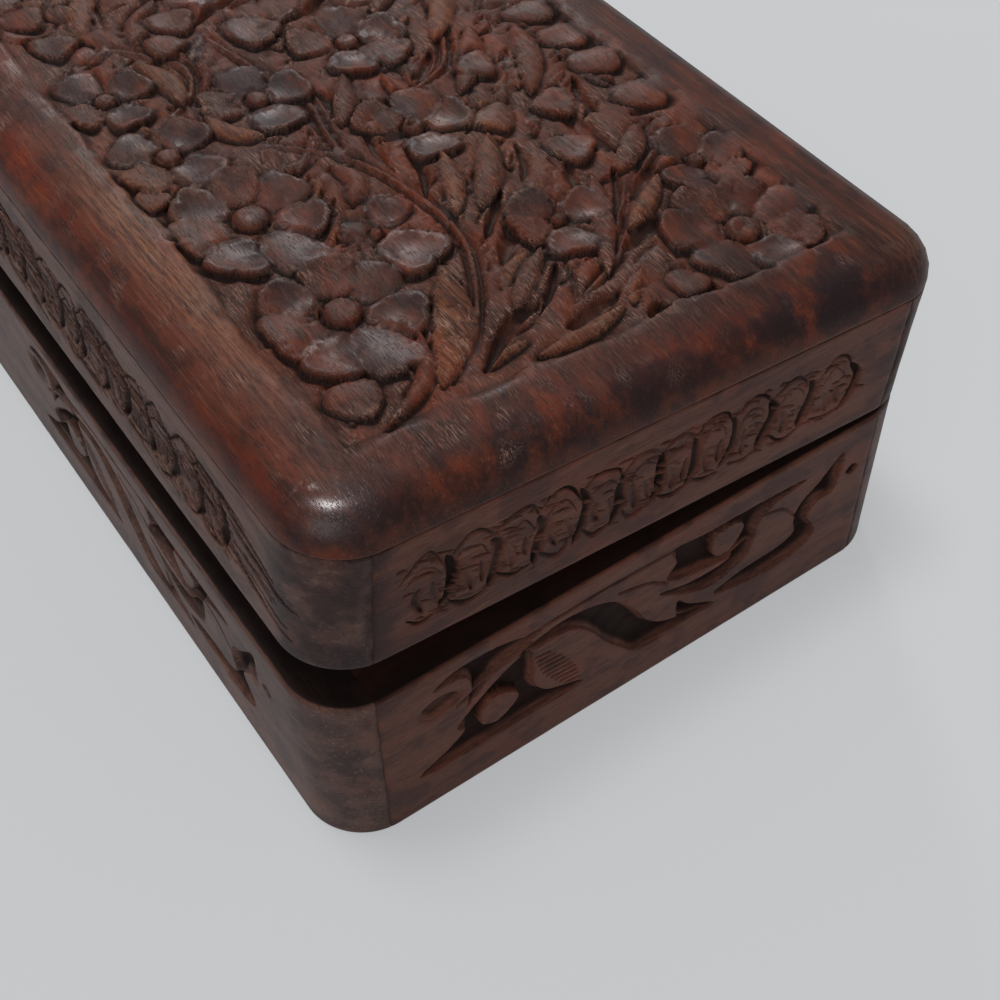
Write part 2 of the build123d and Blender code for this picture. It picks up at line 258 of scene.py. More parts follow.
class Relief:
    """Height grid of a carved face: 0 is the face and negative is cut away, in millimetres."""

    # Grid steps in the largest cell of a mesh
    BLOCK = 16
    # Spreads in millimetres of what counts as the near and the wide surroundings of a point
    NEAR = 0.55
    WIDE = 2.2
    # Painted shade in a wide hollow grows over this many times the drop and only so far, and wear stops short
    # too
    WIDE_DROP = 2.4
    WIDE_SHADE = 0.7
    MOST_WORN = 0.7
    # Finest tolerance of a mesh in millimetres, and the factor that coarsens it
    FINEST = 0.012
    COARSER = 1.25

    def __init__(self, low: Point, high: Point, step: float) -> None:
        """Lay out an even, uncut grid.

        Args:
            low: lowest corner of the face.
            high: highest corner of the face.
            step: grid spacing aimed at.
        """
        counts = [math.ceil((h - l) / (step * self.BLOCK)) * self.BLOCK for l, h in zip(low, high)]
        self.u = np.linspace(low[0], high[0], counts[0] + 1)
        self.v = np.linspace(low[1], high[1], counts[1] + 1)
        self.step = self.u[1] - self.u[0]
        self.height = np.zeros((counts[0] + 1, counts[1] + 1))
        self.shade = np.zeros_like(self.height)
        self.worn = np.zeros_like(self.height)
        self.tints = {name: np.zeros_like(self.height) for name in TINTS}

    def marks(self, keep: Field, spare: int) -> dict[str, Field]:
        """Marks at the chosen points, and none at the spare ones that follow them."""
        named = {"shade": self.shade, "worn": self.worn, **self.tints}
        return {name: np.append(values[keep], np.zeros(spare)) for name, values in named.items()}

    def grid(self) -> tuple[Field, Field]:
        """Both coordinates as grids."""
        return np.meshgrid(self.u, self.v, indexing="ij")

    def window(self, low: Point, high: Point) -> tuple[slice, slice]:
        """Find the part of the grid that covers a box.

        Args:
            low: lowest corner of the box.
            high: highest corner of the box.

        Returns:
            Slices along both axes.
        """
        first = np.searchsorted(self.u, [low[0], high[0]])
        second = np.searchsorted(self.v, [low[1], high[1]])
        return slice(*first), slice(*second)

    def roughen(self, amount: Field | float, long: float, wide: float, turn: float, seed: int) -> None:
        """Add streaky tool marks to the height."""
        self.height += amount * fibre_noise(self.height.shape, self.step, long, wide, turn, seed)

    def round_rims(self, lower: float, upper: float) -> None:
        """Round the lower and upper edges of a wall.

        Args:
            lower: radius at the lower edge.
            upper: radius at the upper edge.
        """
        for distance, radius in ((self.v - self.v[0], lower), (self.v[-1] - self.v, upper)):
            reach = np.clip(radius - distance, 0, radius)
            self.height -= (radius - np.sqrt(radius**2 - reach**2))[None, :]

    def age(self, crevice: float, wear: float) -> None:
        """Paint shade on what lies lower than its surroundings and wear on what stands higher.

        Args:
            crevice: drop in millimetres at which the painted shade is fully dark.
            wear: rise in millimetres that is fully worn.
        """
        near = spectrum_filter(self.height, self.step, self.NEAR, self.NEAR) - self.height
        wide = spectrum_filter(self.height, self.step, self.WIDE, self.WIDE) - self.height
        hollow = np.clip(wide / (self.WIDE_DROP * crevice), 0, self.WIDE_SHADE)
        self.shade = np.clip(np.clip(near / crevice, 0, 1) + hollow + self.shade, 0, 1)
        self.worn = np.clip(np.clip(-near / wear, 0, 1) * self.MOST_WORN + self.worn, 0, 1)

    def cell_error(self, size: int) -> Field:
        """Compare the height in each cell with the flat stretch between its corners.

        Args:
            size: grid steps along a cell.

        Returns:
            Largest distance in each cell.
        """
        blocks = np.lib.stride_tricks.sliding_window_view(self.height, (size + 1, size + 1))[::size, ::size]
        share = np.arange(size + 1) / size
        a, b = share[:, None], share[None, :]
        corners = [blocks[..., i, j][..., None, None] for i, j in ((0, 0), (-1, 0), (0, -1), (-1, -1))]
        flat = corners[0] * (1 - a) * (1 - b) + corners[1] * a * (1 - b)
        flat = flat + corners[2] * (1 - a) * b + corners[3] * a * b
        return np.abs(blocks - flat).max(axis=(2, 3))

    def chosen(self, tolerance: float, bend: Field) -> Field:
        """Choose the grid points that a mesh needs.

        Args:
            tolerance: distance in millimetres that a facet may stand from the relief.
            bend: curvature of the face under each grid point, in 1/mm.

        Returns:
            Grid of true and false.
        """
        keep = np.zeros(self.height.shape, bool)
        still = np.ones([(n - 1) // self.BLOCK for n in self.height.shape], bool)
        size = self.BLOCK
        while size:
            split = np.zeros_like(still)
            if size > 1:
                sag = bend[size // 2 :: size, size // 2 :: size][: still.shape[0], : still.shape[1]]
                error = self.cell_error(size) + sag * (size * self.step) ** 2 / 8
                split = still & (error > tolerance)
            i, j = np.nonzero(still & ~split)
            for di in (0, 1):
                for dj in (0, 1):
                    keep[(i + di) * size, (j + dj) * size] = True
            still = np.repeat(np.repeat(split, 2, 0), 2, 1)
            size //= 2
        return keep

    def mesh_points(self, most: int, bend: Field, inside: Field | None = None) -> Field:
        """Points chosen with the finest tolerance that keeps the mesh within its budget.

        Args:
            most: largest number of points.
            bend: curvature of the face, in 1/mm.
            inside: grid of what belongs to the face, if not all does.

        Returns:
            Grid of true and false.
        """
        tolerance = self.FINEST
        while True:
            keep = self.chosen(tolerance, bend)
            if inside is not None:
                keep &= inside
            if keep.sum() <= most:
                log.info("%d points at %.3f mm", keep.sum(), tolerance)
                return keep
            tolerance *= self.COARSER


def facets(points: Field) -> list[tuple[int, int, int]]:
    """Join points in a plane into triangles that turn left.

    Args:
        points: rows of two coordinates.

    Returns:
        Corner numbers of each triangle.
    """
    found = delaunay_2d_cdt([Vector(p) for p in points.tolist()], [], [], 0, JOIN_WITHIN, True)
    own = [origin[0] for origin in found[3]]
    return [tuple(own[k] for k in face) for face in found[2]]


@dataclass(frozen=True)
class Shape:
    """Something carved: its height at the crown and at the outline, and the fine groove on it."""

    top: float
    edge: float
    groove: float
    tint: str = field(default="", kw_only=True)
    scuff: float = field(default=0.0, kw_only=True)

    # How strong a shape's tint is, and the polish on the smooth, dark petals
    TINT_STRENGTH = 0.45
    SHINE = 0.055
    # Groove along the outline: how dark its painted shade is, and how wide it is
    LINE_SHADE = 0.2
    GROOVE_WIDTH = 0.26
    # Width in which a shape takes over from the ground, and how far round it the grid is worked
    EDGE_RUN = 0.2
    MARGIN = 3.0
    # Painted shade at the foot of a slope: how dark it is, and how fast that fades up the slope
    SLOPE_SHADE = 0.95
    SHADE_POWER = 1.5
    # Slope of the ground down to an outline: narrow all round, wide and deep to the front right, where its
    # painted shade is darkest too
    SLOPE_WIDTHS = (0.4, 1.2)
    SLOPE_SHARES = (0.2, 0.8)
    DEEP_SIDE = (0.85, -0.52)

    def reach(self) -> tuple[Point, Point]:
        """Lowest and highest corner of what the shape covers."""
        raise NotImplementedError

    def measure(self, u: Field, v: Field) -> tuple[Field, Field, Field]:
        """Measure the shape at points of the face.

        Args:
            u: places along the face.
            v: places across the face.

        Returns:
            Distance inside the outline, crown from 0 to 1, and extra height, at each point.
        """
        raise NotImplementedError

    def area(self, relief: Relief) -> tuple[tuple[slice, slice], Field, Field]:
        """Find the part of the relief round the shape.

        Args:
            relief: face that is carved.

        Returns:
            Slices of the part, and its coordinates.
        """
        low, high = self.reach()
        first = (low[0] - self.MARGIN, low[1] - self.MARGIN)
        part = relief.window(first, (high[0] + self.MARGIN, high[1] + self.MARGIN))
        u, v = np.meshgrid(relief.u[part[0]], relief.v[part[1]], indexing="ij")
        return part, u, v

    def undercut(self, relief: Relief, floor: float) -> None:
        """Slope the ground down to the outline and paint shade on it, darkest at the outline.

        Args:
            relief: face that is carved.
            floor: height that the ground sinks to at the outline's deep side.
        """
        part, u, v = self.area(relief)
        if min(u.shape) < 2:
            return
        inside = self.measure(u, v)[0]
        slope_u, slope_v = np.gradient(-inside)
        length = np.hypot(slope_u, slope_v) + TINY
        deep = np.clip((slope_u * self.DEEP_SIDE[0] + slope_v * self.DEEP_SIDE[1]) / length, 0, 1)
        width = self.SLOPE_WIDTHS[0] + self.SLOPE_WIDTHS[1] * deep
        share = np.clip(1 + inside / width, 0, 1) * (self.SLOPE_SHARES[0] + self.SLOPE_SHARES[1] * deep)
        ground = relief.height[part]
        ground[:] = np.minimum(ground, ground * (1 - share) + floor * share)
        # Painted shade on the slope, darkest at the outline and on the front right side
        relief.shade[part] = np.maximum(relief.shade[part], self.SLOPE_SHADE * share**self.SHADE_POWER)

    def carve(self, relief: Relief) -> None:
        """Lay the shape on the relief, over what is there already.

        Args:
            relief: face that is carved.
        """
        part, u, v = self.area(relief)
        if min(u.shape) < 2:
            return
        inside, crown, extra = self.measure(u, v)
        weight = smooth(inside / self.EDGE_RUN + 0.5)
        own = self.edge + (self.top - self.edge) * crown + extra
        line = np.exp(-((inside / self.GROOVE_WIDTH) ** 2))
        ground = relief.height[part]
        ground[:] = ground * (1 - weight) + own * weight - self.groove * line
        # Painted shade in the groove along the outline
        relief.shade[part] = relief.shade[part] * (1 - weight) + self.LINE_SHADE * (self.groove > 0) * line
        relief.worn[part] = relief.worn[part] * (1 - weight) + self.scuff * weight
        for name, grid in relief.tints.items():
            strength = self.TINT_STRENGTH if name == self.tint else 0.0
            if name == "polish" and self.tint == "dark":
                strength = self.SHINE
            grid[part] = grid[part] * (1 - weight) + strength * weight


@dataclass(frozen=True)
class Petal(Shape):
    """Oval petal or bud that rises to its far end, with a low keel along it or fine knife creases."""

    centre: Point
    long: float
    wide: float
    turn: float
    tilt: float
    keel: float
    crease: float = 0.0
    dish: float = 0.0

    # Power of the oval, which is 2 for a true one, and how much broader the far end is
    SQUARENESS = 2.7
    FLARE = 0.3
    # Shares of the half width at which the edge rolls over and the hollow ends
    ROLL_START = 0.93
    LIP = 0.86
    # Share of the half length at which the tilt is level with the top
    LEVEL_AT = 0.8
    # Three and five waves round the outline, and what each petal's place adds to their phase
    WOBBLE = (0.035, 0.02)
    OWN_PHASE = (3.1, 1.7)
    # Creases fan out from a point behind the narrow end
    CREASE_ANGLE = 0.17
    FAN_START = 1.7

    def reach(self) -> tuple[Point, Point]:
        """Lowest and highest corner of the oval."""
        half = max(self.long, self.wide) / 2
        x, y = self.centre
        return (x - half, y - half), (x + half, y + half)

    def measure(self, u: Field, v: Field) -> tuple[Field, Field, Field]:
        """Measure the oval at points of the face.

        Args:
            u: places along the face.
            v: places across the face.

        Returns:
            Distance inside, rolled crown, and tilt, keel, hollow and creases.
        """
        c, s = math.cos(math.radians(self.turn)), math.sin(math.radians(self.turn))
        du, dv = u - self.centre[0], v - self.centre[1]
        along, across = (du * c + dv * s) / (self.long / 2), dv * c - du * s
        # The far end is broader than the end at the flower's middle
        half_wide = self.wide / 2 * (1 + self.FLARE * np.clip(along, -1, 1))
        side = np.abs(across / half_wide)
        spread = (np.abs(along) ** self.SQUARENESS + side**self.SQUARENESS) ** (1 / self.SQUARENESS)
        # No outline is a true oval: each wavers in its own way
        round_angle = np.arctan2(across, along)
        own = self.centre[0] * self.OWN_PHASE[0] + self.centre[1] * self.OWN_PHASE[1]
        wave = 1 + self.WOBBLE[0] * np.sin(3 * round_angle + own)
        spread = spread * (wave + self.WOBBLE[1] * np.sin(5 * round_angle - own))
        inside = (1 - spread) * min(self.long, self.wide) / 2
        crown = 1 - smooth((spread - self.ROLL_START) / (1 - self.ROLL_START))
        extra = self.tilt * (np.clip(along, -1, 1) - self.LEVEL_AT) - self.keel * side * crown
        extra = extra - self.dish * np.clip(1 - (spread / self.LIP) ** 2, 0, 1)
        if self.crease:
            fan = np.arctan2(across, (along + self.FAN_START) * self.long / 2) / self.CREASE_ANGLE
            extra = extra - self.crease * (0.5 + 0.5 * np.cos(2 * np.pi * fan)) * crown
        return inside, crown, extra


@dataclass(frozen=True)
class Ring(Shape):
    """Round flower middle: a boss in a circular groove, with a dimple."""

    centre: Point
    radius: float

    # Dimple: its share of the radius, how much of that is flat, and its depth
    DIMPLE_SHARE = 0.4
    DIMPLE_FLAT = 0.35
    DIMPLE_DEPTH = 0.4

    def reach(self) -> tuple[Point, Point]:
        """Lowest and highest corner of the circle."""
        x, y = self.centre
        return (x - self.radius, y - self.radius), (x + self.radius, y + self.radius)

    def measure(self, u: Field, v: Field) -> tuple[Field, Field, Field]:
        """Measure the boss at points of the face.

        Args:
            u: places along the face.
            v: places across the face.

        Returns:
            Distance inside, crown and dimple.
        """
        away = np.hypot(u - self.centre[0], v - self.centre[1])
        crown = np.sqrt(np.clip(1 - (away / self.radius) ** 2, 0, 1))
        rise = smooth(away / (self.radius * self.DIMPLE_SHARE) - self.DIMPLE_FLAT)
        return self.radius - away, crown, -self.DIMPLE_DEPTH * (1 - rise)


def curve(path: Sequence[Point], closed: bool = False, samples: int = 10) -> Field:
    """Closely spaced points on a smooth curve through a path.

    Args:
        path: points that the curve passes.
        closed: whether it returns to its start.
        samples: steps between two points of the path.

    Returns:
        Rows of two coordinates; a closed curve repeats its first point at its end.
    """
    knots = np.array(path, float)
    if closed:
        ends = np.vstack([knots[-1:], knots, knots[:2]])
    else:
        ends = np.vstack([2 * knots[0] - knots[1], knots, 2 * knots[-1] - knots[-2]])
    t = np.linspace(0, 1, samples, endpoint=False)[:, None]
    spans = []
    for p, q, r, s in zip(ends, ends[1:], ends[2:], ends[3:]):
        bend = (2 * p - 5 * q + 4 * r - s) * t**2 + (3 * q - p - 3 * r + s) * t**3
        spans.append(0.5 * (2 * q + (r - p) * t + bend))
    return np.vstack([*spans, ends[-2:-1]])


def nearest_on(line: Field, u: Field, v: Field) -> tuple[Field, Field]:
    """Find where a line of short pieces is nearest to each point.

    Args:
        line: rows of two coordinates.
        u: places along the face.
        v: places across the face.

    Returns:
        Distance to the line, and the share of its length at which it is nearest.
    """
    nearest = np.full(u.shape, np.inf)
    share = np.zeros(u.shape)
    for k, (start, end) in enumerate(zip(line[:-1], line[1:])):
        run = end - start
        t = np.clip(((u - start[0]) * run[0] + (v - start[1]) * run[1]) / (run @ run + TINY_SQUARE), 0, 1)
        away = np.hypot(u - start[0] - t * run[0], v - start[1] - t * run[1])
        closer = away < nearest
        nearest = np.where(closer, away, nearest)
        share = np.where(closer, (k + t) / (len(line) - 1), share)
    return nearest, share


@dataclass(frozen=True)
class Sweep(Shape):
    """Leaf blade, stem or gouge stroke along a smooth line through points."""

    path: tuple[Point, ...]
    wide: float
    tapered: bool = True
    rib: float = 0.0

    # Vein: its width, and how many times faster than the blade it begins
    RIB_WIDTH = 0.28
    RIB_START = 4
    # How full the tapered outline is, and the least half width that the crown is worked with
    TAPER_POWER = 0.6
    LEAST_HALF = 0.15

    def reach(self) -> tuple[Point, Point]:
        """Lowest and highest corner of the line with its width."""
        line = curve(self.path)
        return tuple(line.min(axis=0) - self.wide / 2), tuple(line.max(axis=0) + self.wide / 2)

    def measure(self, u: Field, v: Field) -> tuple[Field, Field, Field]:
        """Measure the stroke at points of the face.

        Args:
            u: places along the face.
            v: places across the face.

        Returns:
            Distance inside, crown and vein.
        """
        nearest, share = nearest_on(curve(self.path), u, v)
        half = np.full(u.shape, self.wide / 2)
        if self.tapered:
            half = self.wide / 2 * np.clip(4 * share * (1 - share), 0, 1) ** self.TAPER_POWER
        crown = np.clip(1 - (nearest / np.maximum(half, self.LEAST_HALF)) ** 2, 0, 1)
        vein = -self.rib * np.exp(-((nearest / self.RIB_WIDTH) ** 2)) * smooth(self.RIB_START * share)
        return half - nearest, crown, vein


@dataclass(frozen=True)
class Pocket(Shape):
    """Ground sunk inside a closed outline, sloping from its edge to a flat bottom."""

    path: tuple[Point, ...]

    # Width of the slope in millimetres
    SLOPE = 1.4

    def reach(self) -> tuple[Point, Point]:
        """Lowest and highest corner of the outline."""
        line = curve(self.path, True)
        return tuple(line.min(axis=0)), tuple(line.max(axis=0))

    def measure(self, u: Field, v: Field) -> tuple[Field, Field, Field]:
        """Measure the sunk ground at points of the face.

        Args:
            u: places along the face.
            v: places across the face.

        Returns:
            Distance inside, how far the slope has come down, and no extra height.
        """
        line = curve(self.path, True)
        nearest = nearest_on(line, u, v)[0]
        within = np.zeros(u.shape, bool)
        for (x0, y0), (x1, y1) in zip(line[:-1], line[1:]):
            if y0 != y1:
                crosses = (v >= min(y0, y1)) & (v < max(y0, y1))
                within ^= crosses & (u < x0 + (v - y0) * (x1 - x0) / (y1 - y0))
        inside = np.where(within, nearest, -nearest)
        return inside, smooth(inside / self.SLOPE), np.zeros(u.shape)


@dataclass(frozen=True)
class Flower:
    """Flower: a middle and the petals round it, each with its place and size."""

    centre: Point
    radius: float
    petals: tuple[tuple[float, float, float, float], ...]

    # Petals take turns: how high each stands, its keel, creases, hollow, tint and wear
    TURNS = (
        (-0.02, 0.05, 0.0, 0.6, "dark", 0.0),
        (-0.3, 0.45, 0.0, 0.0, "dark", 0.1),
        (-0.06, 0.1, 0.34, 0.2, "", 0.3),
        (-0.2, 0.1, 0.0, 0.5, "dark", 0.0),
        (-0.1, 0.3, 0.2, 0.0, "", 0.15),
    )
    # How far an edge lies below the petal's top, its tilt, and the groove round it
    EDGE_DROP = 0.3
    TILT = 0.58
    GROOVE = 0.2
    # How much longer and broader a petal is cut than it shows, because its neighbours overlap it
    SWELL = (1.08, 1.22)
    # Heights of the middle at its crown and its edge, and the depth of the groove round it
    MIDDLE = (-0.5, -0.95, 0.7)

    def shapes(self) -> list[Shape]:
        """Petals in the order in which they overlap, and the middle over them."""
        parts: list[Shape] = []
        for k, (x, y, long, wide) in enumerate(self.petals):
            away = math.degrees(math.atan2(y - self.centre[1], x - self.centre[0]))
            size = long * self.SWELL[0], wide * self.SWELL[1]
            top, keel, crease, dish, tint, scuff = self.TURNS[k % len(self.TURNS)]
            form = (*size, away, self.TILT, keel, crease, dish)
            heights = (top, top - self.EDGE_DROP, self.GROOVE)
            parts.append(Petal(*heights, (x, y), *form, tint=tint, scuff=scuff))
        parts.append(Ring(*self.MIDDLE, self.centre, self.radius))
        return parts


class Grain(Enum):
    """Axis that the wood's fibres run along."""

    ALONG_X = 0
    ALONG_Y = 1


@dataclass(frozen=True)
class Rosewood:
    """Waxed, hand-carved rosewood: long dark and reddish streaks, open pores, dust on worn edges.

    The wax gives a soft sheen on flats; cuts are duller, and painted shade makes them nearly black at the
    bottom.
    """

    name: str
    deep: str
    body: str
    warm: str
    pale: str
    grain: Grain
    roughness: float
    streaky: float
    red_share: float

    # Length and width in millimetres of what runs along the grain, fibres and pores drawn coarser
    # than real ones so that they show
    STREAK = (60.0, 3.2)
    FIBRE = (8.0, 0.5)
    PORE = (2.2, 0.2)
    PATCH = (16.0, 6.0)
    NICK = (2.2, 0.18)
    MOTTLE = (7.0, 5.0)
    NOISE_ROUGHNESS = 0.55
    # Fine relief in millimetres, and what fibre, pores and worn slips of the knife add to it
    BUMP_DEPTH = 0.05
    BUMP_SHARES = (0.35, -1.0, 1.3)
    # What cuts, wear, polish and fibre add to the roughness, of which the fibre's mean is taken off
    ROUGH_SHARES = (0.3, 0.3, -0.2, 0.24)
    ROUGH_MEAN = 0.1
    # Wax: a thin coat where a hand has polished it, over wood that reflects little
    SPECULAR = 0.18
    IOR = 1.5
    COAT_ROUGHNESS = 0.25
    # Painted shade nearly black in the cuts, dust grey brown on worn edges, and red, ochre and dark patches
    CREVICE_SHADE = "#100604"
    DUST = "#9c7767"
    RED = "#6a250e"
    OCHRE = "#7c5034"
    DARK = "#1c1013"

    def pattern(
        self, tree: bpy.types.NodeTree, place: bpy.types.NodeSocket, size: Point, detail: float
    ) -> bpy.types.NodeSocket:
        """Noise stretched along the grain.

        Args:
            tree: material's tree.
            place: object coordinates.
            size: length and width of a streak in millimetres.
            detail: octaves of finer noise.

        Returns:
            Socket with the noise, about 0.5 in the mean.
        """
        scale = [1 / (size[1] * MM)] * 3
        scale[self.grain.value] = 1 / (size[0] * MM)
        stretched = add_node(tree, "ShaderNodeMapping", {"Vector": place, "Scale": scale})
        noise = {"Vector": stretched.outputs[0], "Scale": 1.0, "Detail": detail}
        noise["Roughness"] = self.NOISE_ROUGHNESS
        return add_node(tree, "ShaderNodeTexNoise", noise).outputs["Fac"]

    def build(self) -> bpy.types.Material:
        """Lay the wood's colours and the painted crevice shade over each other and give it its fine relief
        and sheen.

        Returns:
            Material with its whole node tree.
        """
        material = bare_material(self.name)
        tree = material.node_tree
        place = add_node(tree, "ShaderNodeTexCoord").outputs["Object"]
        sizes = (self.STREAK, self.FIBRE, self.PORE, self.PATCH, self.NICK, self.MOTTLE)
        details = (4.0, 3.0, 1.0, 3.0, 2.0, 3.0)
        streak, fibre, pore, patch, nick, mottle = (
            self.pattern(tree, place, size, detail) for size, detail in zip(sizes, details)
        )
        chatter = weighted_sum(tree, 0.0, ((mottle, 0.4), (nick, 0.6)))
        mark = {
            name: add_node(tree, "ShaderNodeAttribute", attribute_name=name).outputs["Fac"]
            for name in ("shade", "worn", *TINTS)
        }
        # Each layer: what drives it, where it starts and ends, how strong it gets, its colour,
        # and the mark that it is limited to, if any
        layers = {
            "streaks": (streak, 0.42, 0.64, self.streaky, self.deep, None),
            "warm patches": (patch, 0.46, 0.66, self.red_share, self.warm, None),
            "mottle": (mottle, 0.50, 0.60, 0.6, self.deep, None),
            "red stain": (streak, 0.34, 0.60, 0.85, self.RED, "red"),
            "ochre stain": (fibre, 0.34, 0.62, 0.8, self.OCHRE, "ochre"),
            "pores": (pore, 0.58, 0.66, 0.55, self.deep, None),
            "pale fibres": (fibre, 0.52, 0.72, 0.38, self.pale, None),
            # Darker patches where the dark mark is: some petals, the rounded corners and parts of the borders
            "dark patches": (mottle, 0.34, 0.54, 0.9, self.DARK, "dark"),
            "worn slips": (chatter, 0.50, 0.66, 0.7, self.DUST, "worn"),
            # Painted shade, nearly black, wherever the shade mark is high
            "crevice shade": (mark["shade"], 0.05, 0.90, 0.9, self.CREVICE_SHADE, None),
        }
        colour: bpy.types.NodeSocket | tuple = linear(self.body)
        masks = {}
        for name, (driver, start, end, strength, tone, limit) in layers.items():
            span = {"Value": driver, "From Min": start, "From Max": end, "To Max": strength}
            mask = add_node(tree, "ShaderNodeMapRange", span, interpolation_type="SMOOTHSTEP").outputs[0]
            if limit:
                limited = {0: mask, 1: mark[limit]}
                mask = add_node(tree, "ShaderNodeMath", limited, operation="MULTIPLY").outputs[0]
            mixed = {0: mask, 6: colour, 7: linear(tone)}
            colour = add_node(tree, "ShaderNodeMix", mixed, data_type="RGBA").outputs[2]
            masks[name] = mask
        raised = (fibre, masks["pores"], masks["worn slips"])
        relief = {
            "Strength": 1.0,
            "Distance": self.BUMP_DEPTH * MM,
            "Height": weighted_sum(tree, 0.0, zip(raised, self.BUMP_SHARES)),
        }
        bump = add_node(tree, "ShaderNodeBump", relief).outputs[0]
        dulling = (mark["shade"], mark["worn"], mark["polish"], fibre)
        rough = weighted_sum(tree, self.roughness - self.ROUGH_MEAN, zip(dulling, self.ROUGH_SHARES))
        finish = {"Base Color": colour, "Roughness": rough, "Normal": bump}
        finish |= {"Specular IOR Level": self.SPECULAR, "IOR": self.IOR}
        finish |= {"Coat Weight": mark["polish"], "Coat Roughness": self.COAT_ROUGHNESS, "Coat Normal": bump}
        shader = add_node(tree, "ShaderNodeBsdfPrincipled", finish)
        add_node(tree, "ShaderNodeOutputMaterial", {"Surface": shader.outputs[0]})
        return material


@dataclass(frozen=True)
class Metal:
    """Pressed brass or drawn steel wire, dulled by handling, with faint uneven tarnish."""

    name: str
    bright: str
    tarnished: str
    roughness: float

    # Size in millimetres of a patch of tarnish, and how much duller it is
    TARNISH_SIZE = 3.0
    TARNISH_DULLS = 0.2

    def build(self) -> bpy.types.Material:
        """Mix the bright and the tarnished tone in soft patches.

        Returns:
            Material with its whole node tree.
        """
        material = bare_material(self.name)
        tree = material.node_tree
        place = add_node(tree, "ShaderNodeTexCoord").outputs["Object"]
        cloud = {"Vector": place, "Scale": 1 / (self.TARNISH_SIZE * MM), "Detail": 4.0}
        spots = add_node(tree, "ShaderNodeTexNoise", cloud).outputs["Fac"]
        mixed = {0: spots, 6: linear(self.bright), 7: linear(self.tarnished)}
        colour = add_node(tree, "ShaderNodeMix", mixed, data_type="RGBA").outputs[2]
        rough = weighted_sum(tree, self.roughness - self.TARNISH_DULLS / 2, ((spots, self.TARNISH_DULLS),))
        metal = {"Base Color": colour, "Roughness": rough, "Metallic": 1.0}
        shader = add_node(tree, "ShaderNodeBsdfPrincipled", metal)
        add_node(tree, "ShaderNodeOutputMaterial", {"Surface": shader.outputs[0]})
        return material


@dataclass(frozen=True)
class Surround:
    """Plain matt surface that the box stands on; part of what the camera sees of it is evenly lit."""

    name: str
    tone: str

    # Share of what is seen that the lamps and the shadow leave alone
    EVEN_SHARE = 0.64
    ROUGHNESS = 0.8
    SPECULAR = 0.2

    def build(self) -> bpy.types.Material:
        """Mix a matt paint with its own even tone, for what the camera sees of it.

        Returns:
            Material with its whole node tree.
        """
        material = bare_material(self.name)
        tree = material.node_tree
        matt = {"Base Color": linear(self.tone), "Roughness": self.ROUGHNESS}
        matt["Specular IOR Level"] = self.SPECULAR
        shader = add_node(tree, "ShaderNodeBsdfPrincipled", matt).outputs[0]
        even = add_node(tree, "ShaderNodeEmission", {"Color": linear(self.tone)}).outputs[0]
        path = add_node(tree, "ShaderNodeLightPath").outputs
        seen = path["Is Camera Ray"]
        for kind in ("Is Glossy Ray", "Is Transmission Ray"):
            either = {0: seen, 1: path[kind]}
            seen = add_node(tree, "ShaderNodeMath", either, operation="MAXIMUM").outputs[0]
        share = weighted_sum(tree, 0.0, ((seen, self.EVEN_SHARE),))
        surface = add_node(tree, "ShaderNodeMixShader", {0: share, 1: shader, 2: even}).outputs[0]
        add_node(tree, "ShaderNodeOutputMaterial", {"Surface": surface})
        return material


def make_piece(
    name: str,
    points: Field,
    smooth_faces: Sequence[Sequence[int]],
    flat_faces: Sequence[Sequence[int]],
    marks: dict[str, Field],
    placement: Matrix,
) -> bpy.types.Object:
    """Make one mesh object with its place in its mesh.

    Args:
        name: name of the piece.
        points: rows of x, y and z, in the placement's own units.
        smooth_faces: corner numbers of the faces that shade smoothly.
        flat_faces: corner numbers of the faces that shade flat.
        marks: values at each point, by attribute name.
        placement: transform to metres at rest.

    Returns:
        Object at the origin.
    """
    mesh = bpy.data.meshes.new(name)
    turn = np.array(placement)
    placed = points @ turn[:3, :3].T + turn[:3, 3]
    mesh.from_pydata(placed.tolist(), [], [*smooth_faces, *flat_faces])
    mesh.polygons.foreach_set("use_smooth", [True] * len(smooth_faces) + [False] * len(flat_faces))
    for mark, values in marks.items():
        layer = mesh.attributes.new(mark, "FLOAT", "POINT")
        layer.data.foreach_set("value", values.astype(np.float32))
    mesh.update()
    return stand(name, mesh)


def cut_boxes(piece: bpy.types.Object, boxes: Iterable[Box], placement: Matrix) -> None:
    """Cut boxes out of a piece and keep the result as its plain mesh.

    Args:
        piece: object that is cut.
        boxes: spans in x, y and z, in the placement's own units.
        placement: transform to metres at rest.
    """
    shape = bmesh.new()
    for spans in boxes:
        low, high = Vector([s[0] for s in spans]), Vector([s[1] for s in spans])
        block = Matrix.Translation((low + high) / 2) @ Matrix.Diagonal((*(high - low), 1.0))
        bmesh.ops.create_cube(shape, size=1.0, matrix=placement @ block)
    mesh = bpy.data.meshes.new("cutter")
    shape.to_mesh(mesh)
    shape.free()
    cutter = stand("cutter", mesh)
    cut = piece.modifiers.new("cut", "BOOLEAN")
    cut.operation = "DIFFERENCE"
    cut.solver = "EXACT"
    cut.object = cutter
    settle(piece)
    bpy.data.objects.remove(cutter)


def dress(piece: bpy.types.Object, material: bpy.types.Material, body: str, slot: str, *nodes: str) -> None:
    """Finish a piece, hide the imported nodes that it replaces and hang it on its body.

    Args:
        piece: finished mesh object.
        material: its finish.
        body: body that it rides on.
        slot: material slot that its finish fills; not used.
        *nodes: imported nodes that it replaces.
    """
    piece.data.materials.clear()
    piece.data.materials.append(material)
    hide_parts(*nodes)
    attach(piece, body)


class Side(Enum):
    """Outer faces of the box, each with its quarter turns from the front."""

    FRONT = 0
    RIGHT = 1
    REAR = 2
    LEFT = 3


